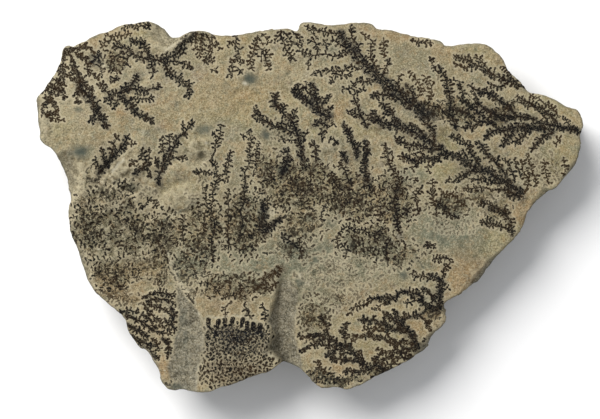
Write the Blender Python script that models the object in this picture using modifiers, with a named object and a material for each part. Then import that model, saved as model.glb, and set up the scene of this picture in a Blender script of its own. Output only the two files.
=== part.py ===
"""Psilomelane specimen: a broken slab of pale rock, lying on its back with the dendrite face up.

One solid. Lengths are in millimetres here and become metres where the mesh is finished.
+X is the long way of the slab, +Y the short way, and the flat of the back lies on z = 0.
"""
import math

import bmesh
import bpy
import numpy as np
from mathutils import Matrix, Vector, noise
from mathutils.kdtree import KDTree

MM = 0.001
THICKNESS = 12.4
OUTLINE_STEP = 0.55
REMESH_SIZE = 0.75
TRIANGLES = 8800
MERGE_DISTANCE = 0.0001

ROCK_COLOUR = (0.42, 0.36, 0.25, 1.0)
ROCK_ROUGHNESS = 0.85

# The broken edge seen from above, clockwise from the corner at the upper left.
OUTLINE = (
    (-49.1, 31.6), (-47.9, 32.4), (-47.0, 32.1), (-43.8, 33.8), (-39.8, 35.2), (-37.8, 36.2),
    (-33.4, 37.0), (-31.2, 37.0), (-28.8, 35.7), (-27.8, 34.1), (-26.4, 34.0), (-22.8, 35.2),
    (-19.2, 34.7), (-17.4, 34.3), (-13.2, 34.6), (-9.4, 35.2), (-4.8, 35.7), (-2.4, 35.2),
    (-1.8, 36.5), (0.0, 37.0), (4.4, 36.4), (10.2, 36.8), (12.4, 36.6), (13.9, 35.5),
    (16.4, 35.4), (19.2, 34.5), (24.4, 33.7), (26.2, 33.2), (27.4, 32.2), (29.8, 32.5),
    (33.2, 32.8), (36.2, 32.1), (38.3, 30.1), (39.9, 27.4), (42.6, 24.5), (44.2, 23.0),
    (48.0, 22.0), (51.2, 20.2), (53.8, 19.2), (54.8, 16.3), (54.1, 14.1), (54.2, 11.8),
    (53.1, 8.4), (51.3, 6.0), (49.0, 3.6), (47.4, 2.9), (44.2, -0.3), (43.4, -2.2),
    (42.2, -4.9), (40.8, -6.6), (37.2, -10.3), (34.2, -14.6), (32.8, -15.6), (29.8, -17.6),
    (27.0, -19.3), (27.6, -22.0), (27.0, -23.5), (24.7, -25.6), (23.4, -28.2), (20.6, -30.2),
    (15.8, -32.7), (11.4, -34.9), (8.0, -36.4), (5.4, -36.0), (3.0, -36.2), (1.4, -35.6),
    (-1.6, -32.6), (-5.0, -31.1), (-8.0, -32.7), (-12.4, -34.2), (-17.8, -36.0), (-20.6, -36.9),
    (-24.8, -36.5), (-27.8, -36.4), (-29.8, -34.6), (-30.0, -32.8), (-32.6, -28.6), (-33.7, -28.2),
    (-35.8, -25.4), (-36.9, -22.4), (-38.6, -20.5), (-42.0, -17.8), (-44.6, -14.2), (-45.9, -9.8),
    (-47.6, -5.4), (-48.1, -0.8), (-47.8, 2.0), (-49.1, 7.0), (-50.8, 10.6), (-53.0, 12.6),
    (-53.9, 13.5), (-54.0, 15.6), (-54.6, 20.2), (-54.5, 21.8), (-52.6, 24.0), (-50.2, 27.8),
)
EDGE_CRUMBLE = 0.22
EDGE_CRUMBLE_SIZE = 2.4
# How many points on each side of one are used to find which way the edge faces.
EDGE_SPREAD = 5
WALL_SPREAD = 8

# The raised tongue at the slab's foot and the notch on its right, as lines of (y, x) from the foot up.
TONGUE_LEFT_FOOT = ((-35.4, -27.2), (-32.0, -28.4), (-28.6, -27.4), (-23.0, -26.1), (-14.4, -26.8))
TONGUE_LEFT_CREST = ((-36.4, -22.2), (-32.0, -21.7), (-26.2, -20.7), (-21.2, -21.7), (-14.8, -26.2))
TONGUE_RIGHT_CREST = ((-31.5, -5.2), (-29.2, -7.7), (-28.4, -9.4), (-25.6, -7.6), (-22.8, -9.2),
                      (-19.4, -7.7), (-12.6, -5.8))
NOTCH_FLOOR = ((-31.5, -4.9), (-29.7, -5.4), (-26.2, -5.9), (-19.0, -5.8), (-12.6, -5.2))
NOTCH_RIGHT_EDGE = ((-31.0, -1.2), (-25.3, -2.6), (-20.5, -2.2), (-16.6, -2.0), (-13.4, -4.2))
# Their height and depth, as lines of (y, height).
TONGUE_RISE = ((-37.0, 2.6), (-26.0, 1.7), (-14.0, 0.25), (-12.5, 0.0))
NOTCH_DEPTH = ((-33.0, 2.0), (-26.0, 1.5), (-17.0, 0.8), (-12.5, 0.0))

# Swellings of the face: centre x, y, half length, half width, turn in degrees, height.
LUMPS = (
    (-38.2, 7.4, 3.0, 2.0, 35.0, 0.8),
    (-25.6, 2.0, 4.8, 2.9, 20.0, 1.0),
    (-22.4, 11.8, 2.7, 2.5, 0.0, 0.7),
    (-25.8, 7.2, 4.2, 1.9, 18.0, 0.55),
    (-34.2, 6.8, 1.9, 1.4, 50.0, 0.5),
    (-30.8, 5.0, 2.8, 2.0, 0.0, 0.4),
    (-39.2, 3.4, 1.8, 1.4, 30.0, 0.45),
    (-42.6, 6.4, 1.8, 1.3, 60.0, 0.4),
    (-41.0, 0.4, 3.0, 2.2, 60.0, 0.45),
    (-33.5, 13.0, 3.4, 2.2, 15.0, 0.4),
    (-3.0, -16.5, 3.4, 2.4, 40.0, 0.35),
    (3.6, 12.2, 1.6, 1.4, 0.0, 0.4),
    (31.0, -7.5, 5.5, 3.6, 50.0, 0.45),
)
# Hollows where flakes have come off the face, in the same terms with a depth.
HOLLOWS = (
    (-28.6, 34.8, 4.0, 2.9, -30.0, 0.9),
    (-35.8, 3.4, 2.0, 1.1, -20.0, 0.55),
    (-26.2, -1.4, 3.8, 1.1, 12.0, 0.5),
    (-21.2, 10.4, 1.2, 0.9, 30.0, 0.6),
    (-49.2, 5.0, 6.4, 3.4, 80.0, 2.4),
    (-55.0, 17.6, 5.2, 1.9, 84.0, 1.3),
    (-46.4, -12.0, 6.0, 2.6, 112.0, 2.0),
    (-32.2, -31.4, 4.8, 2.0, 110.0, 1.4),
    (35.6, -13.6, 6.6, 2.0, 50.0, 1.3),
    (24.6, -27.4, 5.0, 2.0, 45.0, 1.3),
    (53.2, 6.4, 5.0, 2.0, 55.0, 1.2),
)
# A low scarp runs from the top edge down the face; the side to its right stands higher.
SCARP_X = -1.9
SCARP_WIDTH = 0.6
SCARP_HEIGHT = 0.5
SCARP_END_Y = 31.0
SCARP_END_RUN = 2.0
SCARP_FADE = 7.0
# Across the lower left the face steps down along this line of (x, y).
STEP_LINE = ((-47.0, -10.6), (-38.0, -10.0), (-30.0, -10.4), (-27.0, -12.6))
STEP_DROP = 0.4
STEP_WIDTH = 0.9
STEP_END_X = (-28.5, -26.5)
STEP_FADE = (4.0, 16.0)

# Waves of the face: their size, their height and the layer of noise that they are read from.
SWELLS = (24.0, 0.35, 3.1)
ROLLS = (8.5, 0.22, 5.3)
BUMPS = (3.6, 0.30, 7.7)
# The bumps are full height round this place and fade to a quarter away from it.
BUMP_CENTRE = (-31.5, 4.0)
BUMP_REACH = 17.0
BUMP_PEAK = 1.45
BUMP_LEAST = 0.25

# The side walls lean in under the face by a varying amount, and are broken in tilted flats.
WALL_REACH = 14.0
WALL_UNDERCUT = 3.4
WALL_LEAN = 0.45
WALL_LEAN_VARIATION = 1.1
WALL_LEAN_LEAST = 0.06
WALL_LEAN_SIZE = 16.0
WALL_LEAN_LAYER = 40.0
WALL_CURVE = 1.2
FACET_SIZE = 5.0
FACET_TILT = 0.34
FACET_BLEND = 0.22
FACET_INSET = 0.55
FACET_PROUD = 0.15
FACET_RIM = 0.25
CELL_SPREAD = 3.7
CELL_MIDDLE = Vector((0.5, 0.5, 0.5))
BEVEL_WIDTH = 0.45
BEVEL_VARIATION = 1.8
BEVEL_SIZE = 3.4
BEVEL_SLOPE = 0.5

# The back is flat round this place, with hollows, a step and a chipped edge outside it.
BACK_REST_CENTRE_X = -8.0
BACK_REST_RADIUS = (22.0, 38.0)
BACK_HOLLOWS = (15.0, 3.0, 11.3)
BACK_HOLLOW_LEAST = 0.3
BACK_STEP_X = 31.0
BACK_STEP_WIDTH = 1.6
BACK_STEP_HEIGHT = 1.6
BACK_STEP_WANDER = (6.0, 1.5, 4.9)
BACK_CHIPS = (7.0, 2.6, 21.0)
BACK_CHIP_WIDTH = 1.56
BACK_CHIP_SLOPE = 0.6
# Points this close to the back, as a share of the thickness and in millimetres, lie on it.
LEVEL_SNAP = 0.02
REST_SNAP = 0.03


def clear_scene():
    """Removes whatever the open file holds."""
    for item in list(bpy.data.objects):
        bpy.data.objects.remove(item, do_unlink=True)


def smooth_closed(points, step):
    """Points a step apart along the closed smooth curve through the given points."""
    corners = [Vector(point).to_3d() for point in points]
    count = len(corners)
    dense = []
    for index in range(count):
        before, start, end, after = (corners[(index + shift) % count] for shift in (-1, 0, 1, 2))
        pieces = max(1, round((end - start).length / step))
        for piece in range(pieces):
            t = piece / pieces
            bend = 2 * before - 5 * start + 4 * end - after
            twist = 3 * start - before - 3 * end + after
            dense.append(start + 0.5 * ((end - before) * t + bend * t * t + twist * t ** 3))
    return dense


def inward_normals(loop, spread):
    """Unit vectors across a clockwise loop, pointing into it, evened out along the edge."""
    count = len(loop)
    normals = []
    for index in range(count):
        along = loop[(index + spread) % count] - loop[(index - spread) % count]
        normals.append(Vector((along.y, -along.x, 0.0)).normalized())
    return normals


def broken_outline():
    """The outline with the small crumbling of a broken edge."""
    loop = smooth_closed(OUTLINE, OUTLINE_STEP)
    normals = inward_normals(loop, EDGE_SPREAD)
    return [point + normal * EDGE_CRUMBLE * (0.5 + noise.noise(point / EDGE_CRUMBLE_SIZE))
            for point, normal in zip(loop, normals)]


def ramp(value, start, end):
    """Smooth step from 0 at start to 1 at end."""
    part = np.clip((value - start) / (end - start), 0.0, 1.0)
    return part * part * (3.0 - 2.0 * part)


def along_line(value, line):
    """Reads a line of (value, result) pairs at each value."""
    values, results = zip(*line)
    return np.interp(value, values, results)


def waves(x, y, kind):
    """One kind of wave over the plane, a height for each point."""
    size, height, layer = kind
    return height * np.array([noise.noise((a / size, b / size, layer)) for a, b in zip(x, y)])


def tongue(x, y):
    """The raised tongue and the notch beside it."""
    rise = along_line(y, TONGUE_RISE)
    depth = along_line(y, NOTCH_DEPTH)
    floor = along_line(y, NOTCH_FLOOR)
    up = ramp(x, along_line(y, TONGUE_LEFT_FOOT), along_line(y, TONGUE_LEFT_CREST))
    down = ramp(x, along_line(y, TONGUE_RIGHT_CREST), floor)
    out = ramp(x, floor, along_line(y, NOTCH_RIGHT_EDGE))
    return rise * up - (rise + depth) * down + depth * out


def swellings(x, y, shapes):
    """Sum of round-topped ellipses."""
    total = np.zeros_like(x)
    for centre_x, centre_y, length, width, turn, height in shapes:
        angle = math.radians(turn)
        along = (x - centre_x) * math.cos(angle) + (y - centre_y) * math.sin(angle)
        across = (y - centre_y) * math.cos(angle) - (x - centre_x) * math.sin(angle)
        total += height * np.clip(1.0 - (along / length) ** 2 - (across / width) ** 2, 0.0, 1.0)
    return total


def ledges(x, y):
    """The scarp at the top edge and the step across the lower left."""
    scarp = ramp(x, SCARP_X - SCARP_WIDTH / 2, SCARP_X + SCARP_WIDTH / 2)
    scarp *= ramp(y, SCARP_END_Y - SCARP_END_RUN, SCARP_END_Y)
    scarp *= 1.0 - ramp(x, SCARP_X, SCARP_X + SCARP_FADE)
    below = along_line(x, STEP_LINE) - y
    step = ramp(below, 0.0, STEP_WIDTH) * (1.0 - ramp(x, *STEP_END_X)) * (1.0 - ramp(below, *STEP_FADE))
    return SCARP_HEIGHT * scarp - STEP_DROP * step


def face_height(x, y, edge_distance, bevel_width):
    """Height of the dendrite face over the plane of its plain parts."""
    height = tongue(x, y) + swellings(x, y, LUMPS) - swellings(x, y, HOLLOWS) + ledges(x, y)
    height += waves(x, y, SWELLS) + waves(x, y, ROLLS)
    away = np.hypot(x - BUMP_CENTRE[0], y - BUMP_CENTRE[1]) / BUMP_REACH
    height += waves(x, y, BUMPS) * np.clip(BUMP_PEAK - away, BUMP_LEAST, 1.0)
    return height - BEVEL_SLOPE * np.clip(bevel_width - edge_distance, 0.0, None)


def back_height(x, y, edge_distance):
    """Height of the back over its rest plane: flat in the middle, with hollows and a step outside it."""
    hollow = np.clip(waves(x, y, BACK_HOLLOWS) + BACK_HOLLOW_LEAST, 0.0, None)
    hollow *= ramp(np.hypot(x - BACK_REST_CENTRE_X, y), *BACK_REST_RADIUS)
    step = ramp(x + waves(x, y, BACK_STEP_WANDER), BACK_STEP_X, BACK_STEP_X + BACK_STEP_WIDTH)
    chips = np.clip(BACK_CHIP_WIDTH + waves(x, y, BACK_CHIPS) - edge_distance, 0.0, None)
    return hollow + BACK_STEP_HEIGHT * step + BACK_CHIP_SLOPE * chips


def wall_inset(point, level):
    """How far the side wall lies inside the outline, at a level from 0 (back) to 1 (face)."""
    lean = noise.noise(Vector((point.x, point.y, WALL_LEAN_LAYER)) / WALL_LEAN_SIZE)
    lean = max(WALL_LEAN_LEAST, WALL_LEAN + WALL_LEAN_VARIATION * lean)
    undercut = WALL_UNDERCUT * lean * (1.0 - level) ** WALL_CURVE
    facet = facet_depth(Vector((point.x, point.y, level * THICKNESS)) / FACET_SIZE)
    fade = min(1.0, (1.0 - level) / FACET_RIM)
    return undercut + fade * max(-FACET_PROUD, FACET_INSET + facet)


def facet_depth(spot):
    """Depth of the tilted flat of rock that a spot is on, blended where two flats meet."""
    distances, cells = noise.voronoi(spot)
    depths = [(spot - cell).dot(noise.cell_vector(cell * CELL_SPREAD) - CELL_MIDDLE) for cell in cells[:2]]
    share = 0.5 + 0.5 * min(1.0, (distances[1] - distances[0]) / FACET_BLEND)
    return 2.0 * FACET_SIZE * FACET_TILT * (depths[0] * share + depths[1] * (1.0 - share))


def extruded_slab(loop):
    """The outline as a flat curve, extruded, and made a mesh with even faces."""
    curve = bpy.data.curves.new("outline", "CURVE")
    curve.dimensions = "2D"
    curve.fill_mode = "BOTH"
    curve.extrude = THICKNESS / 2
    spline = curve.splines.new("POLY")
    spline.points.add(len(loop) - 1)
    for corner, point in zip(spline.points, loop):
        corner.co = (point.x, point.y, 0.0, 1.0)
    spline.use_cyclic_u = True
    flat = bpy.data.objects.new("outline", curve)
    bpy.context.scene.collection.objects.link(flat)
    flat.location.z = THICKNESS / 2
    bpy.context.view_layer.update()

    evaluated = flat.evaluated_get(bpy.context.evaluated_depsgraph_get())
    mesh = bpy.data.meshes.new_from_object(evaluated)
    mesh.transform(flat.matrix_world)
    bpy.data.objects.remove(flat, do_unlink=True)
    weld_caps(mesh)
    return mesh


def weld_caps(mesh):
    """Joins the extruded curve's caps to its side."""
    work = bmesh.new()
    work.from_mesh(mesh)
    bmesh.ops.remove_doubles(work, verts=work.verts, dist=MERGE_DISTANCE)
    bmesh.ops.recalc_face_normals(work, faces=work.faces)
    work.to_mesh(mesh)
    work.free()


def apply_modifiers(item):
    """Replaces an object's mesh by what its modifiers make of it."""
    evaluated = item.evaluated_get(bpy.context.evaluated_depsgraph_get())
    finished = bpy.data.meshes.new_from_object(evaluated)
    item.modifiers.clear()
    item.data = finished


def remesh(item):
    """Gives the slab small even faces to be broken."""
    modifier = item.modifiers.new("even faces", "REMESH")
    modifier.mode = "VOXEL"
    modifier.voxel_size = REMESH_SIZE
    apply_modifiers(item)


def thin_out(item):
    """Keeps faces where the surface bends and drops them where it is flat."""
    triangles = sum(len(face.vertices) - 2 for face in item.data.polygons)
    modifier = item.modifiers.new("fewer faces", "DECIMATE")
    modifier.ratio = TRIANGLES / triangles
    modifier.use_collapse_triangulate = True
    apply_modifiers(item)


def break_surface(item, loop):
    """Turns the even slab into the broken rock: relief on the face, rough walls, a mostly flat back."""
    normals = inward_normals(loop, WALL_SPREAD)
    finder = KDTree(len(loop))
    for index, point in enumerate(loop):
        finder.insert(point, index)
    finder.balance()

    vertices = item.data.vertices
    moved = np.empty((len(vertices), 3))
    edge_distance = np.empty(len(vertices))
    bevel_width = np.empty(len(vertices))
    for vertex in vertices:
        spot = Vector((vertex.co.x, vertex.co.y, 0.0))
        nearest, index, distance = finder.find(spot)
        level = min(1.0, max(0.0, vertex.co.z / THICKNESS))
        inset = wall_inset(nearest, level) * max(0.0, 1.0 - distance / WALL_REACH)
        spot += normals[index] * inset
        moved[vertex.index] = (spot.x, spot.y, level)
        edge_distance[vertex.index] = distance
        bevel_width[vertex.index] = BEVEL_WIDTH + BEVEL_VARIATION * noise.noise(nearest / BEVEL_SIZE)

    x, y, level = moved.T
    face = THICKNESS + face_height(x, y, edge_distance, bevel_width)
    back = back_height(x, y, edge_distance)
    level = np.where(level < LEVEL_SNAP, 0.0, level)
    heights = back + level * (face - back)
    for vertex, (along, across, _), height in zip(vertices, moved, heights):
        vertex.co = (along, across, height)


def settle(item):
    """Sets the slab on its rest plane, centres it and turns it to metres."""
    vertices = item.data.vertices
    places = np.array([vertex.co for vertex in vertices])
    places[np.abs(places[:, 2]) < REST_SNAP, 2] = 0.0
    places[:, :2] -= (places[:, :2].max(axis=0) + places[:, :2].min(axis=0)) / 2
    vertices.foreach_set("co", places.ravel())
    item.data.transform(Matrix.Scale(MM, 4))


def rock_material():
    material = bpy.data.materials.new("pale rock with oxide dendrites")
    material.use_nodes = True
    shader = material.node_tree.nodes["Principled BSDF"]
    shader.inputs["Base Color"].default_value = ROCK_COLOUR
    shader.inputs["Roughness"].default_value = ROCK_ROUGHNESS
    shader.inputs["Metallic"].default_value = 0.0
    return material


def main():
    clear_scene()
    loop = broken_outline()
    slab = bpy.data.objects.new("dendrite_slab", extruded_slab(loop))
    collection = bpy.data.collections.new("psilomelane specimen")
    bpy.context.scene.collection.children.link(collection)
    collection.objects.link(slab)
    remesh(slab)
    break_surface(slab, loop)
    thin_out(slab)
    settle(slab)
    slab.data.name = "dendrite_slab"
    slab.data.materials.clear()
    slab.data.materials.append(rock_material())
    slab.data.shade_flat()


main()
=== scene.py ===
"""Psilomelane specimen: the fine surface, its dendrites, the floor, the light and the camera.

Lengths are in millimetres until the mesh is made. Places read from the photograph are in its
pixels and go through on_face().
"""
import itertools
import math
import random

import bpy
import numpy as np
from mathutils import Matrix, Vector, noise
from mathutils.geometry import delaunay_2d_cdt
from mathutils.kdtree import KDTree


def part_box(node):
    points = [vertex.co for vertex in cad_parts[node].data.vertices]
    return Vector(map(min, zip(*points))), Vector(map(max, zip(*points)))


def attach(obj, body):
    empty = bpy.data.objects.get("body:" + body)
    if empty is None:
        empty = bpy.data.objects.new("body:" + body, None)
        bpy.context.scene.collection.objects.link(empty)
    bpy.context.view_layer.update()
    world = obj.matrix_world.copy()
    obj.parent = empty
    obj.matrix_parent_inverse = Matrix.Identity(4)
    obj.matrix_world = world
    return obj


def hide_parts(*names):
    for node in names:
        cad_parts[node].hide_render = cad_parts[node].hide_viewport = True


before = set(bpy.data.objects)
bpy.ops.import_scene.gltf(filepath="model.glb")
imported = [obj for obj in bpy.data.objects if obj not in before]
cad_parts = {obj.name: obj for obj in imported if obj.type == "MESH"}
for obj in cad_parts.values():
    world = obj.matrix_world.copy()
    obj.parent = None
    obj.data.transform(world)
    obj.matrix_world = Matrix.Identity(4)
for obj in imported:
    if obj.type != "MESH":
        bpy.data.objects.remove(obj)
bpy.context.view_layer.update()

NODE = "dendrite_slab"
MM = 0.001

# The photograph's scale on the face, and the pixel that the middle of the slab falls on.
PIXEL = 0.2
MIDDLE_PIXEL = (309.0, 207.0)
PHOTO_MIDDLE = (300.0, 209.5)
PHOTO_WIDTH = 600.0
# The crumbled edge lies a little inside the outline, so the picture is framed a little closer.
FRAMING = 0.996

# The form of the slab, as in the part's source.
THICKNESS = 12.4
# The broken edge seen from above, clockwise from the corner at the upper left.
OUTLINE = (
    (-49.1, 31.6), (-47.9, 32.4), (-47.0, 32.1), (-43.8, 33.8), (-39.8, 35.2), (-37.8, 36.2),
    (-33.4, 37.0), (-31.2, 37.0), (-28.8, 35.7), (-27.8, 34.1), (-26.4, 34.0), (-22.8, 35.2),
    (-19.2, 34.7), (-17.4, 34.3), (-13.2, 34.6), (-9.4, 35.2), (-4.8, 35.7), (-2.4, 35.2),
    (-1.8, 36.5), (0.0, 37.0), (4.4, 36.4), (10.2, 36.8), (12.4, 36.6), (13.9, 35.5),
    (16.4, 35.4), (19.2, 34.5), (24.4, 33.7), (26.2, 33.2), (27.4, 32.2), (29.8, 32.5),
    (33.2, 32.8), (36.2, 32.1), (38.3, 30.1), (39.9, 27.4), (42.6, 24.5), (44.2, 23.0),
    (48.0, 22.0), (51.2, 20.2), (53.8, 19.2), (54.8, 16.3), (54.1, 14.1), (54.2, 11.8),
    (53.1, 8.4), (51.3, 6.0), (49.0, 3.6), (47.4, 2.9), (44.2, -0.3), (43.4, -2.2),
    (42.2, -4.9), (40.8, -6.6), (37.2, -10.3), (34.2, -14.6), (32.8, -15.6), (29.8, -17.6),
    (27.0, -19.3), (27.6, -22.0), (27.0, -23.5), (24.7, -25.6), (23.4, -28.2), (20.6, -30.2),
    (15.8, -32.7), (11.4, -34.9), (8.0, -36.4), (5.4, -36.0), (3.0, -36.2), (1.4, -35.6),
    (-1.6, -32.6), (-5.0, -31.1), (-8.0, -32.7), (-12.4, -34.2), (-17.8, -36.0), (-20.6, -36.9),
    (-24.8, -36.5), (-27.8, -36.4), (-29.8, -34.6), (-30.0, -32.8), (-32.6, -28.6), (-33.7, -28.2),
    (-35.8, -25.4), (-36.9, -22.4), (-38.6, -20.5), (-42.0, -17.8), (-44.6, -14.2), (-45.9, -9.8),
    (-47.6, -5.4), (-48.1, -0.8), (-47.8, 2.0), (-49.1, 7.0), (-50.8, 10.6), (-53.0, 12.6),
    (-53.9, 13.5), (-54.0, 15.6), (-54.6, 20.2), (-54.5, 21.8), (-52.6, 24.0), (-50.2, 27.8),
)
# How many points on each side of one are used to find which way the edge faces.
EDGE_SPREAD = 6
WALL_SPREAD = 10

# The raised tongue at the slab's foot and the notch on its right, as lines of (y, x) from the foot up.
TONGUE_LEFT_FOOT = ((-35.4, -27.2), (-32.0, -28.4), (-28.6, -27.4), (-23.0, -26.1), (-14.4, -26.8))
TONGUE_LEFT_CREST = ((-36.4, -22.2), (-32.0, -21.7), (-26.2, -20.7), (-21.2, -21.7), (-14.8, -26.2))
TONGUE_RIGHT_CREST = ((-31.5, -5.2), (-29.2, -7.7), (-28.4, -9.4), (-25.6, -7.6), (-22.8, -9.2),
                      (-19.4, -7.7), (-12.6, -5.8))
NOTCH_FLOOR = ((-31.5, -4.9), (-29.7, -5.4), (-26.2, -5.9), (-19.0, -5.8), (-12.6, -5.2))
NOTCH_RIGHT_EDGE = ((-31.0, -1.2), (-25.3, -2.6), (-20.5, -2.2), (-16.6, -2.0), (-13.4, -4.2))
# Their height and depth, as lines of (y, height).
TONGUE_RISE = ((-37.0, 2.6), (-26.0, 1.7), (-14.0, 0.25), (-12.5, 0.0))
NOTCH_DEPTH = ((-33.0, 2.0), (-26.0, 1.5), (-17.0, 0.8), (-12.5, 0.0))

# Swellings of the face: centre x, y, half length, half width, turn in degrees, height.
LUMPS = (
    (-38.2, 7.4, 3.0, 2.0, 35.0, 0.8),
    (-25.6, 2.0, 4.8, 2.9, 20.0, 1.0),
    (-22.4, 11.8, 2.7, 2.5, 0.0, 0.7),
    (-25.8, 7.2, 4.2, 1.9, 18.0, 0.55),
    (-34.2, 6.8, 1.9, 1.4, 50.0, 0.5),
    (-30.8, 5.0, 2.8, 2.0, 0.0, 0.4),
    (-39.2, 3.4, 1.8, 1.4, 30.0, 0.45),
    (-42.6, 6.4, 1.8, 1.3, 60.0, 0.4),
    (-41.0, 0.4, 3.0, 2.2, 60.0, 0.45),
    (-33.5, 13.0, 3.4, 2.2, 15.0, 0.4),
    (-3.0, -16.5, 3.4, 2.4, 40.0, 0.35),
    (3.6, 12.2, 1.6, 1.4, 0.0, 0.4),
    (31.0, -7.5, 5.5, 3.6, 50.0, 0.45),
)
# Hollows where flakes have come off the face, in the same terms with a depth.
HOLLOWS = (
    (-28.6, 34.8, 4.0, 2.9, -30.0, 0.9),
    (-35.8, 3.4, 2.0, 1.1, -20.0, 0.55),
    (-26.2, -1.4, 3.8, 1.1, 12.0, 0.5),
    (-21.2, 10.4, 1.2, 0.9, 30.0, 0.6),
    (-49.2, 5.0, 6.4, 3.4, 80.0, 2.4),
    (-55.0, 17.6, 5.2, 1.9, 84.0, 1.3),
    (-46.4, -12.0, 6.0, 2.6, 112.0, 2.0),
    (-32.2, -31.4, 4.8, 2.0, 110.0, 1.4),
    (35.6, -13.6, 6.6, 2.0, 50.0, 1.3),
    (24.6, -27.4, 5.0, 2.0, 45.0, 1.3),
    (53.2, 6.4, 5.0, 2.0, 55.0, 1.2),
)
# The chip at the top edge, and the flakes off the rim where the film is gone with the rock.
CHIP = HOLLOWS[0]
FLAKES = HOLLOWS[4:]
# A low scarp runs from the top edge down the face; the side to its right stands higher.
SCARP_X = -1.9
SCARP_WIDTH = 0.6
SCARP_HEIGHT = 0.5
SCARP_END_Y = 31.0
SCARP_END_RUN = 2.0
SCARP_FADE = 7.0
# Across the lower left the face steps down along this line of (x, y).
STEP_LINE = ((-47.0, -10.6), (-38.0, -10.0), (-30.0, -10.4), (-27.0, -12.6))
STEP_DROP = 0.4
STEP_WIDTH = 0.9
STEP_END_X = (-28.5, -26.5)
STEP_FADE = (4.0, 16.0)

# Waves of the face: their size, their height and the layer of noise that they are read from.
SWELLS = (24.0, 0.35, 3.1)
ROLLS = (8.5, 0.22, 5.3)
BUMPS = (3.6, 0.30, 7.7)
# The bumps are full height round this place and fade to a quarter away from it.
BUMP_CENTRE = (-31.5, 4.0)
BUMP_REACH = 17.0
BUMP_PEAK = 1.45
BUMP_LEAST = 0.25

# The side walls lean in under the face by a varying amount, and are broken in tilted flats.
WALL_REACH = 14.0
WALL_UNDERCUT = 3.4
WALL_LEAN = 0.45
WALL_LEAN_VARIATION = 1.1
WALL_LEAN_LEAST = 0.06
WALL_LEAN_SIZE = 16.0
WALL_LEAN_LAYER = 40.0
WALL_CURVE = 1.2
FACET_SIZE = 5.0
FACET_TILT = 0.34
FACET_BLEND = 0.22
FACET_INSET = 0.55
FACET_PROUD = 0.15
FACET_RIM = 0.25
CELL_SPREAD = 3.7
CELL_MIDDLE = Vector((0.5, 0.5, 0.5))
BEVEL_WIDTH = 0.45
BEVEL_VARIATION = 1.8
BEVEL_SIZE = 3.4
BEVEL_SLOPE = 0.5

# The back is flat round this place, with hollows, a step and a chipped edge outside it.
BACK_REST_CENTRE_X = -8.0
BACK_REST_RADIUS = (22.0, 38.0)
BACK_HOLLOWS = (15.0, 3.0, 11.3)
BACK_HOLLOW_LEAST = 0.3
BACK_STEP_X = 31.0
BACK_STEP_WIDTH = 1.6
BACK_STEP_HEIGHT = 1.6
BACK_STEP_WANDER = (6.0, 1.5, 4.9)
BACK_CHIPS = (7.0, 2.6, 21.0)
BACK_CHIP_WIDTH = 1.56
BACK_CHIP_SLOPE = 0.6

# Spacing of the fine mesh on the face, round the edge, down the walls and over the back.
FACE_STEP = 0.32
EDGE_STEP = 0.42
WALL_RINGS = 30
BACK_STEP = 1.1

# The fine relief that only this script has. Waves first, then creases, which are the sharp sides of waves.
RIPPLES = (1.7, 0.10, 9.4)
FINE_RIPPLES = (0.8, 0.06, 2.6)
CREASES = (2.7, 0.26, 17.9)
FINE_CREASES = (1.2, 0.12, 23.3)
ROUGH_PATCHES = (7.0, 1.0, 14.2)
PITS = (1.3, 1.0, 31.0)
PIT_LEAST = 0.42
PIT_PATCHES = (9.0, 1.0, 8.8)
PIT_DEPTH = 0.8
BACK_GRAIN = (3.0, 0.16, 6.1)
WALL_FLATS = ((2.1, 0.42), (1.0, 0.34))
WALL_GRAIN = (0.8, 0.07)
WALL_CRUMB = 0.5
BARE_CRUMB = 0.35
WALL_BARE = 0.5
# How much of the painted crevice shade and crest highlight the walls get.
WALL_CREVICE_SHADE = 0.3
BEDDING_LENGTH = 11.0
BEDDING_PITCH = 1.1
BEDDING_DEPTH = 0.14
# Flats of the broken rock: small ones all over the face, and smaller steeper ones in its crumbly places.
FLATS = (2.3, 0.11)
CRUMB_FLATS = (0.95, 0.38)
# The crumbly places: centre x and y, half width and half height in pixels, strength.
CRUMBLY = (
    (125, 172, 30, 20, 0.8), (178, 196, 30, 16, 0.4), (197, 150, 18, 16, 0.6), (76, 185, 14, 34, 0.6),
    (106, 186, 22, 16, 0.7), (140, 196, 30, 14, 0.6), (178, 44, 18, 10, 0.9), (178, 376, 18, 14, 0.4),
    (330, 144, 14, 10, 0.6), (120, 240, 40, 30, 0.35), (84, 265, 10, 26, 0.6), (46, 122, 8, 20, 0.6),
    (300, 284, 14, 12, 0.5), (140, 345, 16, 20, 0.5), (440, 330, 10, 24, 0.6), (478, 284, 16, 20, 0.6),
)

# Small sharp breaks of the face: a line in the photograph, the height of its left side, and how
# far behind the line that height fades.
BREAKS = (
    ((108, 178, 115, 170, 122, 161), -0.45, 3),
    ((126, 183, 118, 181, 112, 177), 0.4, 2.5),
    ((192, 204, 182, 209, 168, 216), 0.5, 4),
    ((168, 250, 171, 262, 177, 280), 0.3, 3),
    ((205, 279, 222, 274, 250, 271, 270, 264), 0.22, 3.5),
    ((160, 290, 150, 291, 142, 296), 0.3, 2.5),
    ((190, 34, 177, 42, 165, 51), 0.35, 2.5),
    ((423, 268, 410, 248, 401, 232), 0.14, 2),
    ((270, 353, 258, 348), 0.3, 2),
    ((145, 150, 143, 136), 0.15, 2),
    ((90, 196, 86, 186, 90, 174), 0.25, 2.5),
    ((296, 246, 300, 236), 0.2, 2),
    ((98, 70, 104, 62, 103, 54), 0.2, 2.5),
)
BREAK_WIDTH = 0.24

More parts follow.
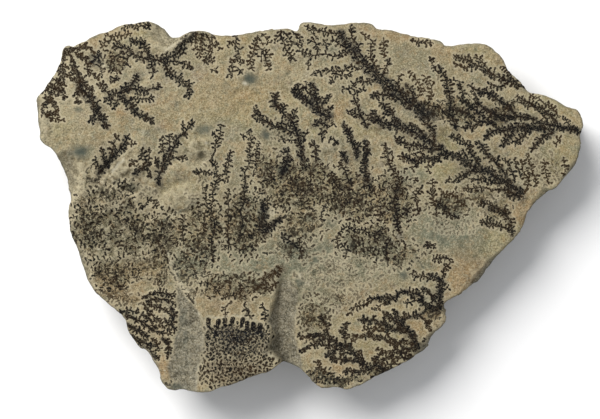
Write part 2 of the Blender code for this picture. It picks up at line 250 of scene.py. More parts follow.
# Dendrites. Each frond is its stem as x, y, x, y in the photograph's pixels from root to tip, the
# reach of its side twigs and how thick its stem is in pixels, and its colour from 0 black to 1 brown.
FRONDS = (
    # upper left corner
    ((67, 49, 65, 60, 63, 72, 62, 84, 65, 97), 5, 1.5, 0.2),
    ((64, 66, 58, 72, 52, 80, 47, 85), 3.2, 1.2, 0.3), ((62, 76, 56, 84, 48, 90, 40, 94), 2.8, 1.2, 0.2),
    ((61, 82, 55, 92, 50, 100, 43, 108, 40, 116), 6.5, 1.5, 0.3),
    ((52, 98, 54, 104, 56, 107), 2.5, 1.2, 0.4), ((44, 113, 50, 115, 58, 113), 2.5, 1.2, 0.6),
    ((50, 118, 58, 120, 63, 121), 2.5, 1.2, 0.6),
    ((68, 50, 72, 58, 76, 66, 79, 76, 80, 86, 79, 96, 79, 102), 4.5, 1.4, 0.3),
    ((79, 72, 84, 80, 88, 88, 93, 92), 3.5, 1.3, 0.2),
    ((81, 84, 85, 92, 90, 98, 95, 104, 97, 112, 101, 120, 108, 128), 6, 2.6, 0.05),
    ((100, 108, 96, 116, 92, 120), 3, 2.4, 0.05), ((69, 49, 78, 49, 86, 47, 93, 50), 2.6, 1.3, 0.4),
    ((72, 52, 80, 55, 88, 58), 3, 1.2, 0.4), ((78, 56, 86, 62, 88, 70, 92, 75, 100, 77), 3.2, 1.2, 0.4),
    ((74, 62, 76, 70, 72, 78), 3, 1.2, 0.3), ((92, 63, 96, 60, 100, 56), 3, 3.6, 0),
    ((101, 62, 101, 70, 103, 75), 3, 1.4, 0.2),
    # upper middle left
    ((196, 33, 190, 38, 184, 44, 178, 52, 170, 58, 160, 60, 150, 60, 142, 58, 134, 54, 126, 50,
     116,  46), 6, 1.9, 0.1),
    ((150, 58, 146, 50, 143, 44, 138, 41, 131, 40), 4, 2, 0.1),
    ((126, 50, 118, 44, 112, 40, 104, 42, 102, 48), 4, 1.2, 0.6),
    ((132, 34, 124, 36, 116, 37, 106, 36), 2.4, 1.2, 0.8),
    ((158, 27, 150, 26, 140, 27, 130, 27, 122, 28), 2.4, 1.2, 0.3),
    ((134, 54, 128, 58, 127, 66), 2.8, 1.4, 0.3),
    ((124, 52, 116, 58, 110, 62, 113, 69, 119, 71), 4.2, 1.3, 0.4),
    ((152, 62, 152, 68, 153, 74), 5, 2, 0.1),
    ((164, 62, 168, 70, 174, 76, 180, 80, 186, 84, 190, 90, 188, 96), 5, 2, 0.1),
    ((160, 62, 172, 62, 182, 64, 190, 68), 4.2, 1.6, 0.2), ((181, 45, 188, 43, 196, 44), 3, 1.2, 0.5),
    ((196, 34, 195, 42, 197, 50), 2.4, 1.1, 0.5), ((120, 79, 116, 81, 112, 81), 2.6, 1.8, 0.2),
    ((139, 77, 132, 84, 126, 90, 118, 94, 110, 97, 106, 98), 5, 2.2, 0.1),
    ((118, 94, 128, 92, 138, 91, 150, 90, 160, 89), 4.6, 2, 0.1),
    ((120, 96, 128, 102, 134, 108, 140, 115, 147, 118, 153, 121), 4.6, 2.2, 0.1),
    ((132, 100, 140, 99, 148, 99, 153, 99), 2.2, 1.5, 0.1), ((114, 96, 112, 102, 116, 105), 3, 1.8, 0.1),
    ((110, 95, 106, 90, 103, 86), 4, 1.8, 0.4),
    # hanging from the top edge
    ((198, 33, 196, 40, 197, 50), 2.2, 1, 0.6), ((201, 34, 203, 44, 200, 58), 2.2, 1, 0.6),
    ((206, 34, 210, 42, 209, 50, 206, 58, 205, 63), 2.8, 1.1, 0.5),
    ((212, 35, 213, 44, 213, 56, 214, 63), 2.8, 1.1, 0.5), ((214, 36, 217, 44, 220, 50), 2.2, 1, 0.7),
    ((211, 70, 215, 71, 217, 69), 1.8, 1, 0.6), ((237, 36, 236, 44, 237, 52, 236, 60), 4.5, 1.2, 0.3),
    ((236, 44, 231, 42, 228, 46), 2, 1, 0.5), ((235, 60, 231, 66, 233, 72, 230, 76), 4.2, 1.4, 0.4),
    ((238, 68, 241, 72), 1.6, 1.2, 0.2), ((240, 58, 242, 65), 1.6, 1, 0.4),
    ((258, 36, 256, 44, 254, 52, 252, 60, 254, 69), 3.8, 1.2, 0.5), ((258, 38, 263, 44), 2.2, 1, 0.5),
    ((256, 46, 262, 50, 267, 52, 270, 56), 2, 1.1, 0.5), ((262, 52, 261, 60), 1.5, 1, 0.5),
    ((265, 56, 267, 64, 269, 70), 3.2, 1.2, 0.6), ((262, 34, 266, 38, 269, 43), 2.2, 1.1, 0.5),
    ((281, 31, 282, 38, 286, 46, 288, 52, 292, 60), 4, 1.4, 0.3),
    ((283, 32, 290, 40, 294, 44, 302, 46), 3.4, 1.3, 0.3), ((282, 32, 278, 37, 275, 42), 2, 1, 0.5),
    ((292, 32, 297, 37, 301, 42), 2.6, 1.3, 0.2),
    # upper right of the middle
    ((428, 118, 418, 110, 408, 102, 396, 92, 386, 84, 376, 76, 366, 66, 356, 56, 348, 46, 340, 34),
      8.6, 2.7, 0.05),
    ((404, 106, 400, 100, 392, 96, 382, 96, 372, 96), 4, 2.2, 0.15),
    ((414, 104, 412, 96, 408, 88, 406, 85), 4, 2.2, 0.3), ((400, 92, 398, 84, 398, 76), 3, 1.5, 0.5),
    ((382, 78, 386, 68, 388, 60), 2.6, 1.7, 0.3), ((378, 74, 372, 62, 371, 52, 374, 42), 4, 1.4, 0.5),
    ((366, 66, 360, 54, 356, 44, 352, 36, 350, 28), 3.6, 1.6, 0.2),
    ((376, 80, 366, 82, 356, 84, 350, 88, 342, 90), 4, 1.5, 0.1),
    ((364, 86, 362, 91, 356, 93), 2.5, 1.4, 0.2),
    ((360, 70, 350, 67, 342, 70, 334, 70, 326, 71, 318, 72, 313, 75), 3.6, 1.3, 0.2),
    ((352, 72, 344, 76, 336, 76, 330, 82), 3.4, 1.3, 0.2),
    ((352, 52, 342, 54, 332, 57, 320, 57, 308, 56, 301, 52), 3.6, 1.3, 0.2),
    ((340, 34, 330, 34, 322, 32, 312, 31, 306, 27), 2.6, 1.5, 0.3),
    ((345, 48, 338, 44, 334, 38), 2.6, 1.4, 0.2), ((318, 52, 315, 44, 311, 42), 3.8, 1.4, 0.1),
    ((318, 40, 314, 35, 310, 31), 2.6, 1.4, 0.3), ((327, 50, 326, 42), 2.6, 1.3, 0.1),
    ((306, 64, 309, 66), 2.2, 1.4, 0.5), ((384, 58, 384, 50, 382, 42), 2.6, 1.1, 0.9),
    ((360, 33, 366, 37, 372, 44), 2.4, 1, 0.9), ((410, 41, 418, 42, 424, 43, 431, 43), 1.8, 1.4, 0.4),
    ((418, 98, 420, 90, 418, 80, 410, 72), 2.8, 1, 1), ((428, 100, 431, 92, 428, 82, 422, 76), 2.8, 1, 1),
    ((446, 116, 438, 108, 430, 104, 421, 103), 4, 1.6, 0.3),
    # fans beside the middle
    ((330, 118, 320, 112, 312, 105, 303, 98, 294, 92), 4.6, 3.2, 0),
    ((306, 100, 300, 92, 297, 85), 3, 2.4, 0.1), ((318, 108, 315, 96, 313, 85), 4, 2.8, 0.05),
    ((311, 96, 307, 90, 306, 83), 2.4, 1.6, 0.1), ((322, 106, 325, 99, 329, 96), 2.6, 2, 0.1),
    ((324, 112, 331, 108), 2, 2.2, 0.1), ((313, 126, 320, 123, 328, 126), 3.6, 2.2, 0.05),
    ((331, 126, 334, 124), 1.6, 1.4, 0.2), ((281, 110, 276, 106, 274, 101, 277, 96), 3.4, 2.6, 0.25),
    ((283, 111, 284, 106), 1.6, 1.4, 0.1),
    ((302, 160, 301, 150, 300, 142, 297, 134, 292, 126, 287, 119, 281, 113), 4.2, 2.2, 0.1),
    ((291, 124, 293, 116, 294, 110), 2.4, 2, 0.2),
    ((294, 134, 283, 129, 275, 126, 266, 122, 259, 117, 255, 109), 4.2, 1.8, 0.2),
    ((270, 124, 266, 118), 2.4, 1.4, 0.1), ((300, 141, 290, 140, 281, 140), 2, 1.2, 0.1),
    ((303, 142, 304, 136, 307, 132), 2.8, 1.6, 0.1), ((316, 162, 315, 150, 313, 142), 2.8, 1.8, 0.1),
    ((322, 142, 322, 134, 324, 130), 3.2, 1.7, 0.1), ((338, 144, 331, 139), 2.4, 1.6, 0.2),
    ((282, 174, 286, 165, 290, 157, 285, 151), 4.2, 2.2, 0),
    ((357, 158, 356, 149, 352, 142, 347, 134, 343, 125), 3, 2.8, 0.05),
    ((346, 162, 343, 153), 3.4, 2.6, 0),
    ((368, 182, 366, 172, 366, 160, 366, 150, 367, 141), 3.2, 2.6, 0.15),
    ((400, 186, 396, 176, 390, 166, 386, 156, 383, 146), 4.6, 1.7, 0.5),
    ((392, 162, 391, 152), 2.4, 1.4, 0.7), ((404, 163, 402, 156), 2, 1.4, 0.6),
    ((367, 128, 362, 120, 356, 114, 350, 112), 3.2, 2, 0.1),
    ((361, 118, 358, 108, 353, 102), 3.4, 2, 0.2),
    # the great tree on the right
    ((522, 194, 510, 186, 500, 180, 488, 174, 476, 168, 464, 162, 454, 157, 444, 152, 436, 147), 3,
      3.6, 0),
    ((440, 150, 430, 142, 420, 136, 408, 130, 396, 126, 384, 123, 372, 120), 6.5, 2.6, 0.05),
    ((400, 125, 392, 116, 386, 110, 381, 104), 3.4, 2.2, 0.05),
    ((380, 121, 372, 114, 367, 117), 3, 2, 0.1),
    ((434, 142, 432, 132, 426, 124, 417, 117), 3.6, 2.3, 0.3),
    ((424, 137, 419, 130, 413, 124), 2.4, 1.8, 0.3),
    ((438, 150, 424, 148, 412, 146, 402, 142, 395, 139), 4, 2, 0.2),
    ((444, 154, 434, 158, 422, 160, 412, 161, 402, 157), 3.4, 2.3, 0.15),
    ((418, 162, 414, 166, 411, 168), 2.2, 1.4, 0.3), ((424, 155, 418, 153, 411, 155), 2, 1.4, 0.3),
    ((430, 160, 427, 166, 430, 173), 1.4, 1.1, 0.6),
    ((482, 170, 476, 160, 470, 152, 465, 145, 460, 140, 452, 134), 3, 2, 0.15),
    ((470, 166, 466, 158, 463, 150), 2.2, 2, 0.1),
    ((506, 177, 498, 166, 490, 156, 484, 148, 477, 142), 3.2, 2.2, 0.1),
    ((514, 182, 512, 172, 506, 164, 501, 160), 2.6, 1.7, 0.2),
    ((520, 178, 518, 168, 512, 161), 2.4, 1.6, 0.3),
    ((502, 184, 492, 182, 482, 180, 470, 178), 2.6, 1.8, 0.2),
    ((482, 172, 472, 172, 464, 176, 455, 182), 3.2, 2.3, 0.1),
    ((502, 190, 488, 188, 478, 188, 464, 187), 2.8, 1.5, 0.5),
    ((522, 197, 512, 194, 502, 190), 3.6, 2.5, 0.35),
    ((524, 193, 526, 182, 524, 172, 522, 162), 3.8, 1.4, 0.85),
    ((536, 186, 533, 176, 530, 166, 526, 157), 3, 1.3, 0.8),
    ((548, 184, 545, 172, 543, 161), 3, 1.1, 0.9), ((562, 176, 564, 168, 563, 160), 2.6, 0.9, 1),
    ((445, 183, 449, 178), 1.6, 1.6, 0.3),
    ((580, 133, 572, 129, 564, 127, 556, 128, 546, 124, 534, 119, 520, 117, 508, 117, 501, 116), 3.2,
      2.4, 0.15),
    ((572, 129, 567, 124, 564, 119), 2.4, 1.1, 0.1),
    ((550, 130, 538, 128, 524, 128, 512, 128, 502, 130, 494, 132, 486, 138), 3.6, 3, 0.1),
    ((513, 131, 508, 139, 502, 146), 3.8, 2.4, 0.15), ((527, 131, 520, 138, 515, 143), 3.2, 2.1, 0.15),
    ((552, 133, 544, 137, 538, 142, 532, 150), 4, 2.2, 0.3), ((560, 136, 555, 144), 2.4, 1.3, 0.9),
    ((556, 122, 544, 114, 534, 106, 524, 100, 516, 97), 2.8, 1.9, 0.4),
    ((546, 120, 538, 112, 530, 107, 522, 104, 512, 102), 2.2, 1.7, 0.3),
    ((558, 118, 550, 109, 542, 102, 530, 97), 2.4, 1.4, 0.7),
    ((512, 112, 504, 104, 496, 98, 488, 94, 478, 90), 3.8, 2.2, 0.1),
    ((504, 121, 494, 114, 484, 108, 476, 104), 4, 2.8, 0.05),
    ((494, 124, 480, 122, 472, 126, 464, 130), 3.8, 2, 0.2),
    ((484, 118, 474, 110, 466, 104, 460, 98), 3.8, 1.8, 0.1),
    ((474, 118, 462, 112, 454, 110, 445, 112), 3.8, 1.8, 0.1),
    ((456, 130, 454, 122, 450, 114), 3.6, 2.3, 0.1),
    ((452, 110, 448, 98, 446, 88, 443, 78, 440, 68), 4.4, 2, 0.2),
    ((438, 74, 434, 67, 430, 60), 1.4, 1, 0.4), ((462, 100, 461, 91, 459, 82, 452, 81), 3.2, 1.6, 0.2),
    ((478, 104, 474, 94, 470, 86), 3.2, 1.6, 0.2),
    ((524, 88, 512, 84, 500, 78, 488, 73, 476, 66, 464, 60, 454, 57), 4.2, 1.8, 0.4),
    ((508, 82, 500, 86, 490, 84), 3, 1.6, 0.3), ((516, 84, 510, 74, 502, 66), 3.4, 1.5, 0.5),
    ((490, 74, 484, 66, 476, 58), 3.2, 1.3, 0.7), ((472, 66, 464, 68, 456, 66), 2.6, 1.2, 0.8),
    ((512, 236, 511, 226, 506, 216, 498, 210, 490, 206, 481, 202), 3.8, 1.9, 0.3),
    ((508, 230, 500, 226, 490, 222, 481, 222), 3.8, 1.7, 0.4), ((505, 214, 504, 207), 2.2, 1.4, 0.4),
    ((466, 206, 458, 200, 450, 196, 441, 192), 4.4, 1.5, 0.8),
    ((458, 218, 450, 214, 444, 208, 439, 202), 4, 1.8, 0.3),
    ((436, 216, 436, 206, 432, 198, 430, 190), 4, 1.5, 0.6),
    ((419, 214, 416, 204, 416, 196, 418, 188), 4, 1.5, 0.5), ((432, 188, 431, 180), 2, 1.3, 0.5),
    ((413, 184, 415, 178), 1.6, 1.2, 0.4), ((407, 216, 406, 210), 3, 2, 0.1),
    # lower right lobe
    ((394, 368, 380, 368, 368, 365, 360, 360, 354, 354, 349, 349, 342, 345, 334, 341, 326, 338,
     318,  335, 308, 336), 2.2, 2.4, 0.05),
    ((340, 345, 330, 345, 320, 345, 308, 347, 300, 350), 2.2, 1.6, 0.1),
    ((334, 341, 330, 336, 327, 330, 326, 324, 322, 317), 3.8, 1.8, 0.2),
    ((346, 347, 345, 338, 344, 330, 347, 323), 3.8, 1.8, 0.2),
    ((351, 348, 351, 340, 354, 335), 2, 1.3, 0.6),
    ((354, 353, 344, 351, 336, 351, 327, 354), 3, 1.8, 0.1),
    ((362, 361, 350, 359, 342, 359, 332, 360), 3, 1.8, 0.1),
    ((372, 368, 362, 370, 352, 370, 343, 370), 2.4, 2, 0.1), ((357, 356, 353, 350), 1.6, 1.6, 0.1),
    ((364, 361, 359, 353), 1.6, 1.6, 0.1), ((314, 340, 306, 336, 298, 336), 1.8, 1.1, 0.3),
    ((420, 350, 415, 342, 408, 332, 402, 325, 398, 318, 396, 313), 4, 2.8, 0.05),
    ((403, 331, 392, 328, 384, 325, 376, 321, 368, 320, 361, 320), 3.6, 2.2, 0.1),
    ((401, 327, 394, 321, 388, 316, 385, 312), 3, 2.1, 0.1), ((404, 322, 404, 316), 2.2, 1.8, 0.1),
    ((407, 340, 396, 343, 386, 340, 378, 337, 370, 336, 363, 336), 3.8, 1.8, 0.4),
    ((384, 331, 374, 329, 364, 328), 1.8, 1.1, 0.4), ((390, 337, 386, 334), 1.8, 1.2, 0.6),
    ((421, 349, 412, 347, 404, 349, 397, 351), 3, 1.8, 0.2),
    ((414, 356, 402, 358, 392, 358, 382, 358, 373, 357), 2.6, 1.6, 0.3),
    ((404, 353, 394, 352, 384, 351, 377, 349), 2.2, 1.4, 0.4),
    ((402, 364, 392, 364, 384, 365), 1.8, 1.5, 0.2),
    ((440, 308, 438, 300, 440, 292, 441, 284, 436, 278, 430, 276), 3, 2.8, 0),
    ((441, 293, 447, 286), 1.6, 1.4, 0.1), ((438, 304, 432, 298, 428, 292, 422, 289), 2.4, 2.1, 0.1),
    ((433, 306, 424, 304, 420, 297, 416, 292, 410, 291, 402, 293, 394, 296, 386, 297, 378, 298,
     370,  299), 2.6, 2.3, 0.1),
    ((390, 299, 380, 305, 373, 309), 2.4, 1.3, 0.4),
    ((372, 300, 362, 304, 354, 307, 350, 313), 3.2, 1.3, 0.6),
    ((422, 301, 414, 301, 405, 304), 2.2, 1.7, 0.1),
    ((437, 310, 427, 309, 419, 313, 408, 317), 3, 2.2, 0.1),
    ((421, 318, 428, 322, 431, 329), 2.8, 1.4, 0.6),
    ((444, 277, 443, 269, 449, 262, 447, 258, 440, 257, 433, 258), 2.6, 1.7, 0.4),
    ((430, 279, 424, 276, 416, 276, 411, 273), 3.2, 1.6, 0.4),
    ((442, 306, 450, 302, 456, 299), 1.2, 1.6, 0), ((326, 371, 320, 366, 317, 362), 2, 1.2, 0.6),
    ((430, 343, 426, 340), 2, 1.4, 0.2),
    # left lumps
    ((100, 173, 106, 166, 112, 160, 119, 153, 124, 146, 129, 138), 4, 2.4, 0.05),
    ((106, 165, 104, 156, 103, 150), 3, 1.9, 0.2),
    ((113, 158, 113, 150, 116, 144, 118, 138), 3.2, 1.6, 0.5),
    ((100, 168, 97, 162, 96, 158), 2.4, 1.4, 0.2), ((137, 144, 130, 144), 1.6, 1.3, 0.4),
    ((134, 174, 142, 169, 148, 164), 3.4, 2.2, 0.2), ((141, 168, 135, 165, 133, 161), 2.6, 1.3, 0.7),
    ((147, 163, 146, 157, 142, 152), 3.6, 1.5, 0.1), ((149, 160, 150, 152), 2, 1.2, 0.1),
    ((152, 178, 151, 173), 2.2, 1.8, 0.3),
    ((160, 185, 160, 176, 162, 168, 168, 160, 172, 152, 176, 144, 180, 138, 186, 134), 4, 2.3, 0.15),
    ((169, 160, 176, 158, 186, 159), 2.6, 1.6, 0.2),
    ((166, 161, 165, 151, 164, 143, 161, 139), 2.4, 1.6, 0.2),
    ((171, 154, 170, 144, 169, 136), 2.2, 1.6, 0.2), ((159, 168, 157, 160), 1.6, 1.8, 0.2),
    ((182, 136, 188, 130, 193, 124), 2.8, 1.7, 0.1), ((184, 134, 184, 124), 2.2, 1.4, 0.1),
    ((140, 209, 146, 204, 152, 201, 156, 207), 2, 1.4, 0.3),
    ((122, 188, 118, 183, 126, 181), 1.4, 1.2, 0.3),
    # middle, growing upwards
    ((214, 262, 213, 248, 214, 232, 213, 216, 214, 202, 214, 190, 216, 180, 216, 170, 213, 161), 3,
      1.4, 0.2),
    ((216, 184, 222, 180, 229, 178), 2.4, 1.5, 0.2),
    ((217, 176, 224, 174, 228, 168, 230, 160, 232, 151), 2.8, 1.4, 0.2),
    ((225, 173, 227, 164, 227, 155), 1.6, 1.1, 0.3), ((212, 175, 206, 172, 198, 170), 2.4, 1.4, 0.2),
    ((213, 164, 212, 157, 215, 149, 218, 142, 220, 134, 221, 125), 3, 1.4, 0.2),
    ((216, 138, 215, 132), 1.8, 1.1, 0.2), ((184, 244, 183, 230, 184, 216), 2.6, 1.1, 0.4),
    ((204, 226, 205, 212, 207, 200, 203, 188), 3.2, 1.2, 0.35),
    ((229, 240, 227, 226, 230, 212, 229, 200, 228, 190), 3, 1.2, 0.35),
    ((240, 236, 242, 222, 243, 208, 243, 196, 244, 184, 246, 174, 251, 164, 252, 154, 251, 144,
     248,  132), 3.6, 1.5, 0.2),
    ((244, 140, 243, 136), 1.8, 1.2, 0.2), ((257, 170, 256, 162, 257, 152, 258, 142), 2.4, 1, 0.3),
    ((266, 232, 262, 222, 264, 212, 262, 202), 4.6, 3, 0), ((266, 230, 273, 225, 279, 217), 3, 2.6, 0.05),
    ((268, 210, 267, 198), 2.4, 1.4, 0.3), ((272, 182, 271, 172), 3, 1.4, 0.2),
    ((256, 250, 250, 247, 242, 248, 232, 246, 224, 249), 2.8, 1.3, 0.3),
    ((248, 238, 253, 233, 258, 229), 2.6, 1.4, 0.2), ((298, 248, 291, 241, 284, 235), 3, 1.7, 0.1),
    ((302, 258, 300, 248, 302, 238), 2.6, 1.1, 0.4), ((306, 170, 304, 162), 3.4, 2, 0.2),
    ((322, 222, 322, 214, 326, 207), 1.6, 1.1, 0.1), ((342, 190, 336, 184, 330, 176), 4.6, 1.8, 0.3),
    ((352, 186, 345, 176, 340, 166), 4, 1.5, 0.3), ((362, 188, 368, 185, 374, 188), 2, 1.8, 0.1),
    ((400, 236, 397, 226, 396, 214, 394, 202, 396, 190, 398, 180), 4, 2.1, 0.2),
    ((374, 240, 378, 232, 386, 227), 4, 1.7, 0.2), ((386, 259, 386, 249, 388, 242), 3.8, 1.6, 0.2),
    ((345, 258, 346, 250, 341, 244), 3, 1.4, 0.2), ((338, 248, 336, 238), 2.6, 1.2, 0.3),
    ((340, 232, 347, 227, 356, 228, 366, 232, 374, 234), 1.6, 1.2, 0.1),
    ((424, 246, 429, 244, 434, 245), 1.6, 2, 0.1),
    # tongue
    ((282, 268, 276, 273, 268, 278, 262, 284, 255, 288), 5, 2.3, 0.85),
    ((278, 282, 273, 286, 268, 291), 3.6, 1.8, 0.85), ((222, 298, 229, 296, 236, 296), 1.6, 1.1, 0.4),
    ((240, 284, 242, 290), 2, 1.1, 0.3), ((226, 316, 226, 309, 229, 303), 2.8, 1.1, 0.6),
    ((252, 318, 248, 312, 245, 304), 2.8, 1.2, 0.3), ((265, 320, 265, 311, 263, 304), 2, 1.3, 0.2),
    ((200, 283, 211, 284, 220, 292), 1, 0.9, 0.3), ((176, 285, 184, 290, 193, 300), 1, 0.9, 0.3),
    # lower left, a fan of strokes and the strokes below it
    ((143, 298, 150, 295, 160, 292, 170, 292, 175, 294), 1, 2, 0.3),
    ((147, 301, 157, 299, 168, 300, 176, 304), 1, 2, 0.3),
    ((148, 304, 156, 306, 165, 310, 172, 316), 1, 2, 0.35),
    ((148, 308, 153, 314, 159, 320, 163, 326), 1.2, 2, 0.4),
    ((144, 303, 147, 309, 150, 317), 0.8, 1.6, 0.4),
    ((171, 307, 175, 316, 174, 326, 179, 332), 1.2, 2.4, 0.15),
    ((165, 318, 170, 326, 171, 333), 0.6, 2, 0.3), ((120, 313, 128, 309, 136, 310), 1.4, 2, 0.1),
    ((126, 315, 137, 318, 146, 325), 1.2, 2.4, 0.3), ((128, 324, 138, 330, 147, 335), 1.4, 2.6, 0.3),
    ((142, 314, 150, 319, 156, 327), 1.2, 2.2, 0.4), ((148, 326, 156, 331, 163, 334), 1, 2.5, 0.3),
    ((131, 334, 138, 340, 146, 343, 154, 347), 1.6, 2.5, 0.2),
    ((142, 347, 150, 352, 159, 357), 1.6, 2.3, 0.4),
    ((163, 338, 168, 342, 170, 349, 168, 355), 1.4, 2.5, 0.3),
    ((152, 338, 158, 343, 161, 348), 0.8, 2, 0.5),
)

# Where small separate growths fill in: centre x and y, half width and half height in pixels, spacing
# in millimetres, how many steps each grows, its colour and how strong it is.
THICKETS = (
    (88, 228, 20, 32, 0.62, 4, 0.25, 0.88), (104, 196, 20, 12, 0.62, 3, 0.3, 0.8),
    (128, 206, 12, 14, 0.62, 3, 0.2, 0.85), (130, 186, 10, 8, 0.66, 2, 0.1, 0.75),
    (92, 178, 8, 12, 0.8, 2, 0.1, 0.7), (148, 192, 12, 7, 0.85, 2, 0.3, 0.5),
    (192, 198, 12, 8, 0.95, 2, 0.8, 0.5), (204, 176, 8, 12, 0.8, 2, 0.4, 0.6),
    (125, 232, 36, 27, 0.66, 4, 0.3, 0.85), (165, 236, 22, 26, 0.7, 4, 0.4, 0.95),
    (112, 275, 28, 17, 0.56, 2, 0.4, 0.86), (140, 268, 22, 14, 0.75, 2, 0.8, 0.7),
    (115, 292, 20, 10, 0.6, 2, 0.9, 0.7), (204, 232, 24, 34, 0.7, 3, 0.5, 0.85),
    (245, 225, 26, 36, 0.66, 3, 0.4, 0.9), (300, 186, 44, 28, 0.6, 5, 0.35, 1),
    (352, 196, 34, 28, 0.64, 5, 0.35, 0.95), (392, 200, 24, 30, 0.66, 5, 0.4, 0.9),
    (372, 243, 34, 20, 0.7, 4, 0.35, 0.9), (300, 225, 26, 22, 0.78, 4, 0.4, 0.75),
    (268, 168, 20, 20, 0.85, 3, 0.4, 0.75), (295, 250, 22, 14, 0.85, 3, 0.4, 0.7),
    (192, 262, 26, 16, 0.68, 4, 0.1, 0.75), (186, 275, 16, 12, 0.72, 4, 0.1, 0.7),
    (340, 272, 44, 18, 1, 2, 0.5, 0.55), (400, 255, 26, 14, 0.8, 3, 0.3, 0.8),
    (238, 334, 32, 12, 0.33, 1, 0, 1), (238, 350, 33, 10, 0.42, 1, 0.2, 1),
    (236, 368, 38, 18, 0.38, 1, 0.5, 1), (236, 288, 38, 12, 0.66, 2, 0.6, 0.95),
    (196, 290, 14, 8, 0.8, 2, 0.5, 0.6), (452, 226, 24, 10, 0.9, 2, 0.6, 0.5),
    (128, 300, 18, 8, 0.7, 2, 0.8, 0.7), (314, 318, 18, 24, 0.66, 3, 0.75, 0.8),
    (340, 300, 30, 12, 0.9, 2, 0.7, 0.6), (318, 376, 18, 7, 0.56, 2, 0.1, 1),
    (345, 380, 26, 6, 0.56, 2, 0.1, 1), (385, 372, 22, 5, 0.6, 2, 0.2, 0.9),
    (430, 110, 18, 10, 0.72, 4, 0.3, 0.9), (424, 88, 14, 14, 0.9, 3, 1, 0.5),
    (460, 112, 24, 18, 0.8, 3, 0.2, 0.8), (500, 116, 18, 12, 0.6, 3, 0.2, 1),
    (540, 170, 26, 16, 0.95, 3, 0.95, 0.5), (450, 205, 26, 14, 0.75, 3, 0.6, 0.8),
    (480, 195, 22, 10, 0.8, 3, 0.6, 0.7), (496, 212, 18, 14, 0.8, 3, 0.4, 0.7),
    (284, 132, 14, 12, 0.8, 3, 0.3, 0.6), (116, 62, 12, 12, 0.62, 3, 0.5, 0.9),
    (200, 38, 12, 5, 0.6, 3, 0.4, 0.9), (430, 312, 14, 10, 0.75, 3, 0.4, 0.8),
    (232, 276, 26, 4, 0.66, 2, 0.5, 0.8), (160, 268, 12, 20, 0.66, 3, 0.5, 0.8),
    (178, 384, 14, 4, 0.6, 2, 0.1, 0.8),
)
# The row of blunt teeth across the tongue: where each stands, with its lean.
TEETH = ((209, 321, 0), (218, 322, 1), (225.5, 320.5, 0), (232, 320, 1), (242, 320.5, 1), (247.5, 324, 0),
         (253.5, 325, 0), (259.5, 326, 1))
TOOTH_LENGTH = 8.5
TOOTH_HALF_WIDTH = 2.0
TOOTH_HEAD = 2.5

STROKE = 0.24
TWIG_HALF_WIDTH = 0.21
LOBE_HALF_WIDTH = 0.19
LOBE_GAP = 0.27
WAVER = 0.7
WAVER_LENGTH = 2.2
DENSE_STEM = 1.8
# Twigs widen from this share of their half width at the root, by this much, to a knob at the tip.
KNOB_LEAST = 0.75
KNOB_GAIN = 0.5
# Fronds rooted in these boxes (left, top, right, bottom in pixels) have broad brown twigs like leaf blades.
BLADE_BOXES = ((296, 310, 426, 380), (38, 46, 82, 122))
BLADE_GAIN = 1.3
BLADE_CLEARANCE = -0.2
BLADE_TONE = 0.2
NEIGHBOURS = 6
UNREACHED = 60.0

# Darkening along the rim of the face: its strength, its width and how it comes and goes.
RIM_DARKENING = 0.65
RIM_DARKENING_WIDTH = 0.3
RIM_DARKENING_PATCHES = (2.4, 0.7, 71.0)

# How wide and how deep a dip has to be to get painted shade as a dark crevice; crests get a painted
# highlight.
HOLLOW_ROUNDS = 3
HOLLOW_DEPTH = 0.045

# Soft areas of ground colour: centre x and y, half width, half height, turn in degrees, strength.
GREEN_AREAS = (
    (300, 262, 110, 30, -4, 0.95), (190, 262, 26, 18, 0, 0.9), (312, 280, 26, 34, 0, 0.7),
    (446, 232, 46, 28, 10, 1), (125, 240, 56, 24, 0, 0.5), (400, 262, 34, 22, 0, 0.5),
    (330, 224, 26, 18, 0, 0.5), (420, 60, 40, 16, 10, 0.35), (255, 130, 50, 14, 0, 0.4),
    (90, 152, 26, 12, 0, 0.4), (160, 140, 34, 12, 0, 0.35), (320, 150, 50, 20, 0, 0.3),
    (350, 85, 26, 10, 0, 0.4), (250, 185, 26, 40, 0, 0.3), (200, 150, 16, 16, 0, 0.3),
    (412, 176, 26, 10, 0, 0.85), (456, 240, 40, 18, 10, 0.9), (460, 60, 10, 8, 0, 0.2),
    (330, 50, 20, 12, 0, 0.4),
)
OLIVE_AREAS = (
    (450, 142, 16, 12, 0, 0.9), (440, 170, 24, 12, 0, 0.7), (555, 108, 30, 12, 25, 0.8),
    (320, 128, 14, 10, 0, 0.7), (250, 108, 60, 24, 0, 0.5), (180, 190, 24, 12, -10, 0.7),
    (200, 140, 14, 12, 0, 0.8), (470, 156, 14, 10, 0, 0.6), (500, 240, 26, 14, -30, 0.6),
    (560, 160, 20, 24, 0, 0.6), (56, 120, 18, 20, 0, 0.7), (140, 36, 30, 8, -10, 0.6),
    (235, 40, 34, 10, 0, 0.6), (470, 56, 24, 10, 10, 0.7), (150, 270, 20, 10, 0, 0.4),
    (390, 340, 50, 30, 0, 0.4), (340, 120, 16, 16, 0, 0.4), (365, 128, 20, 8, 0, 0.5),
)
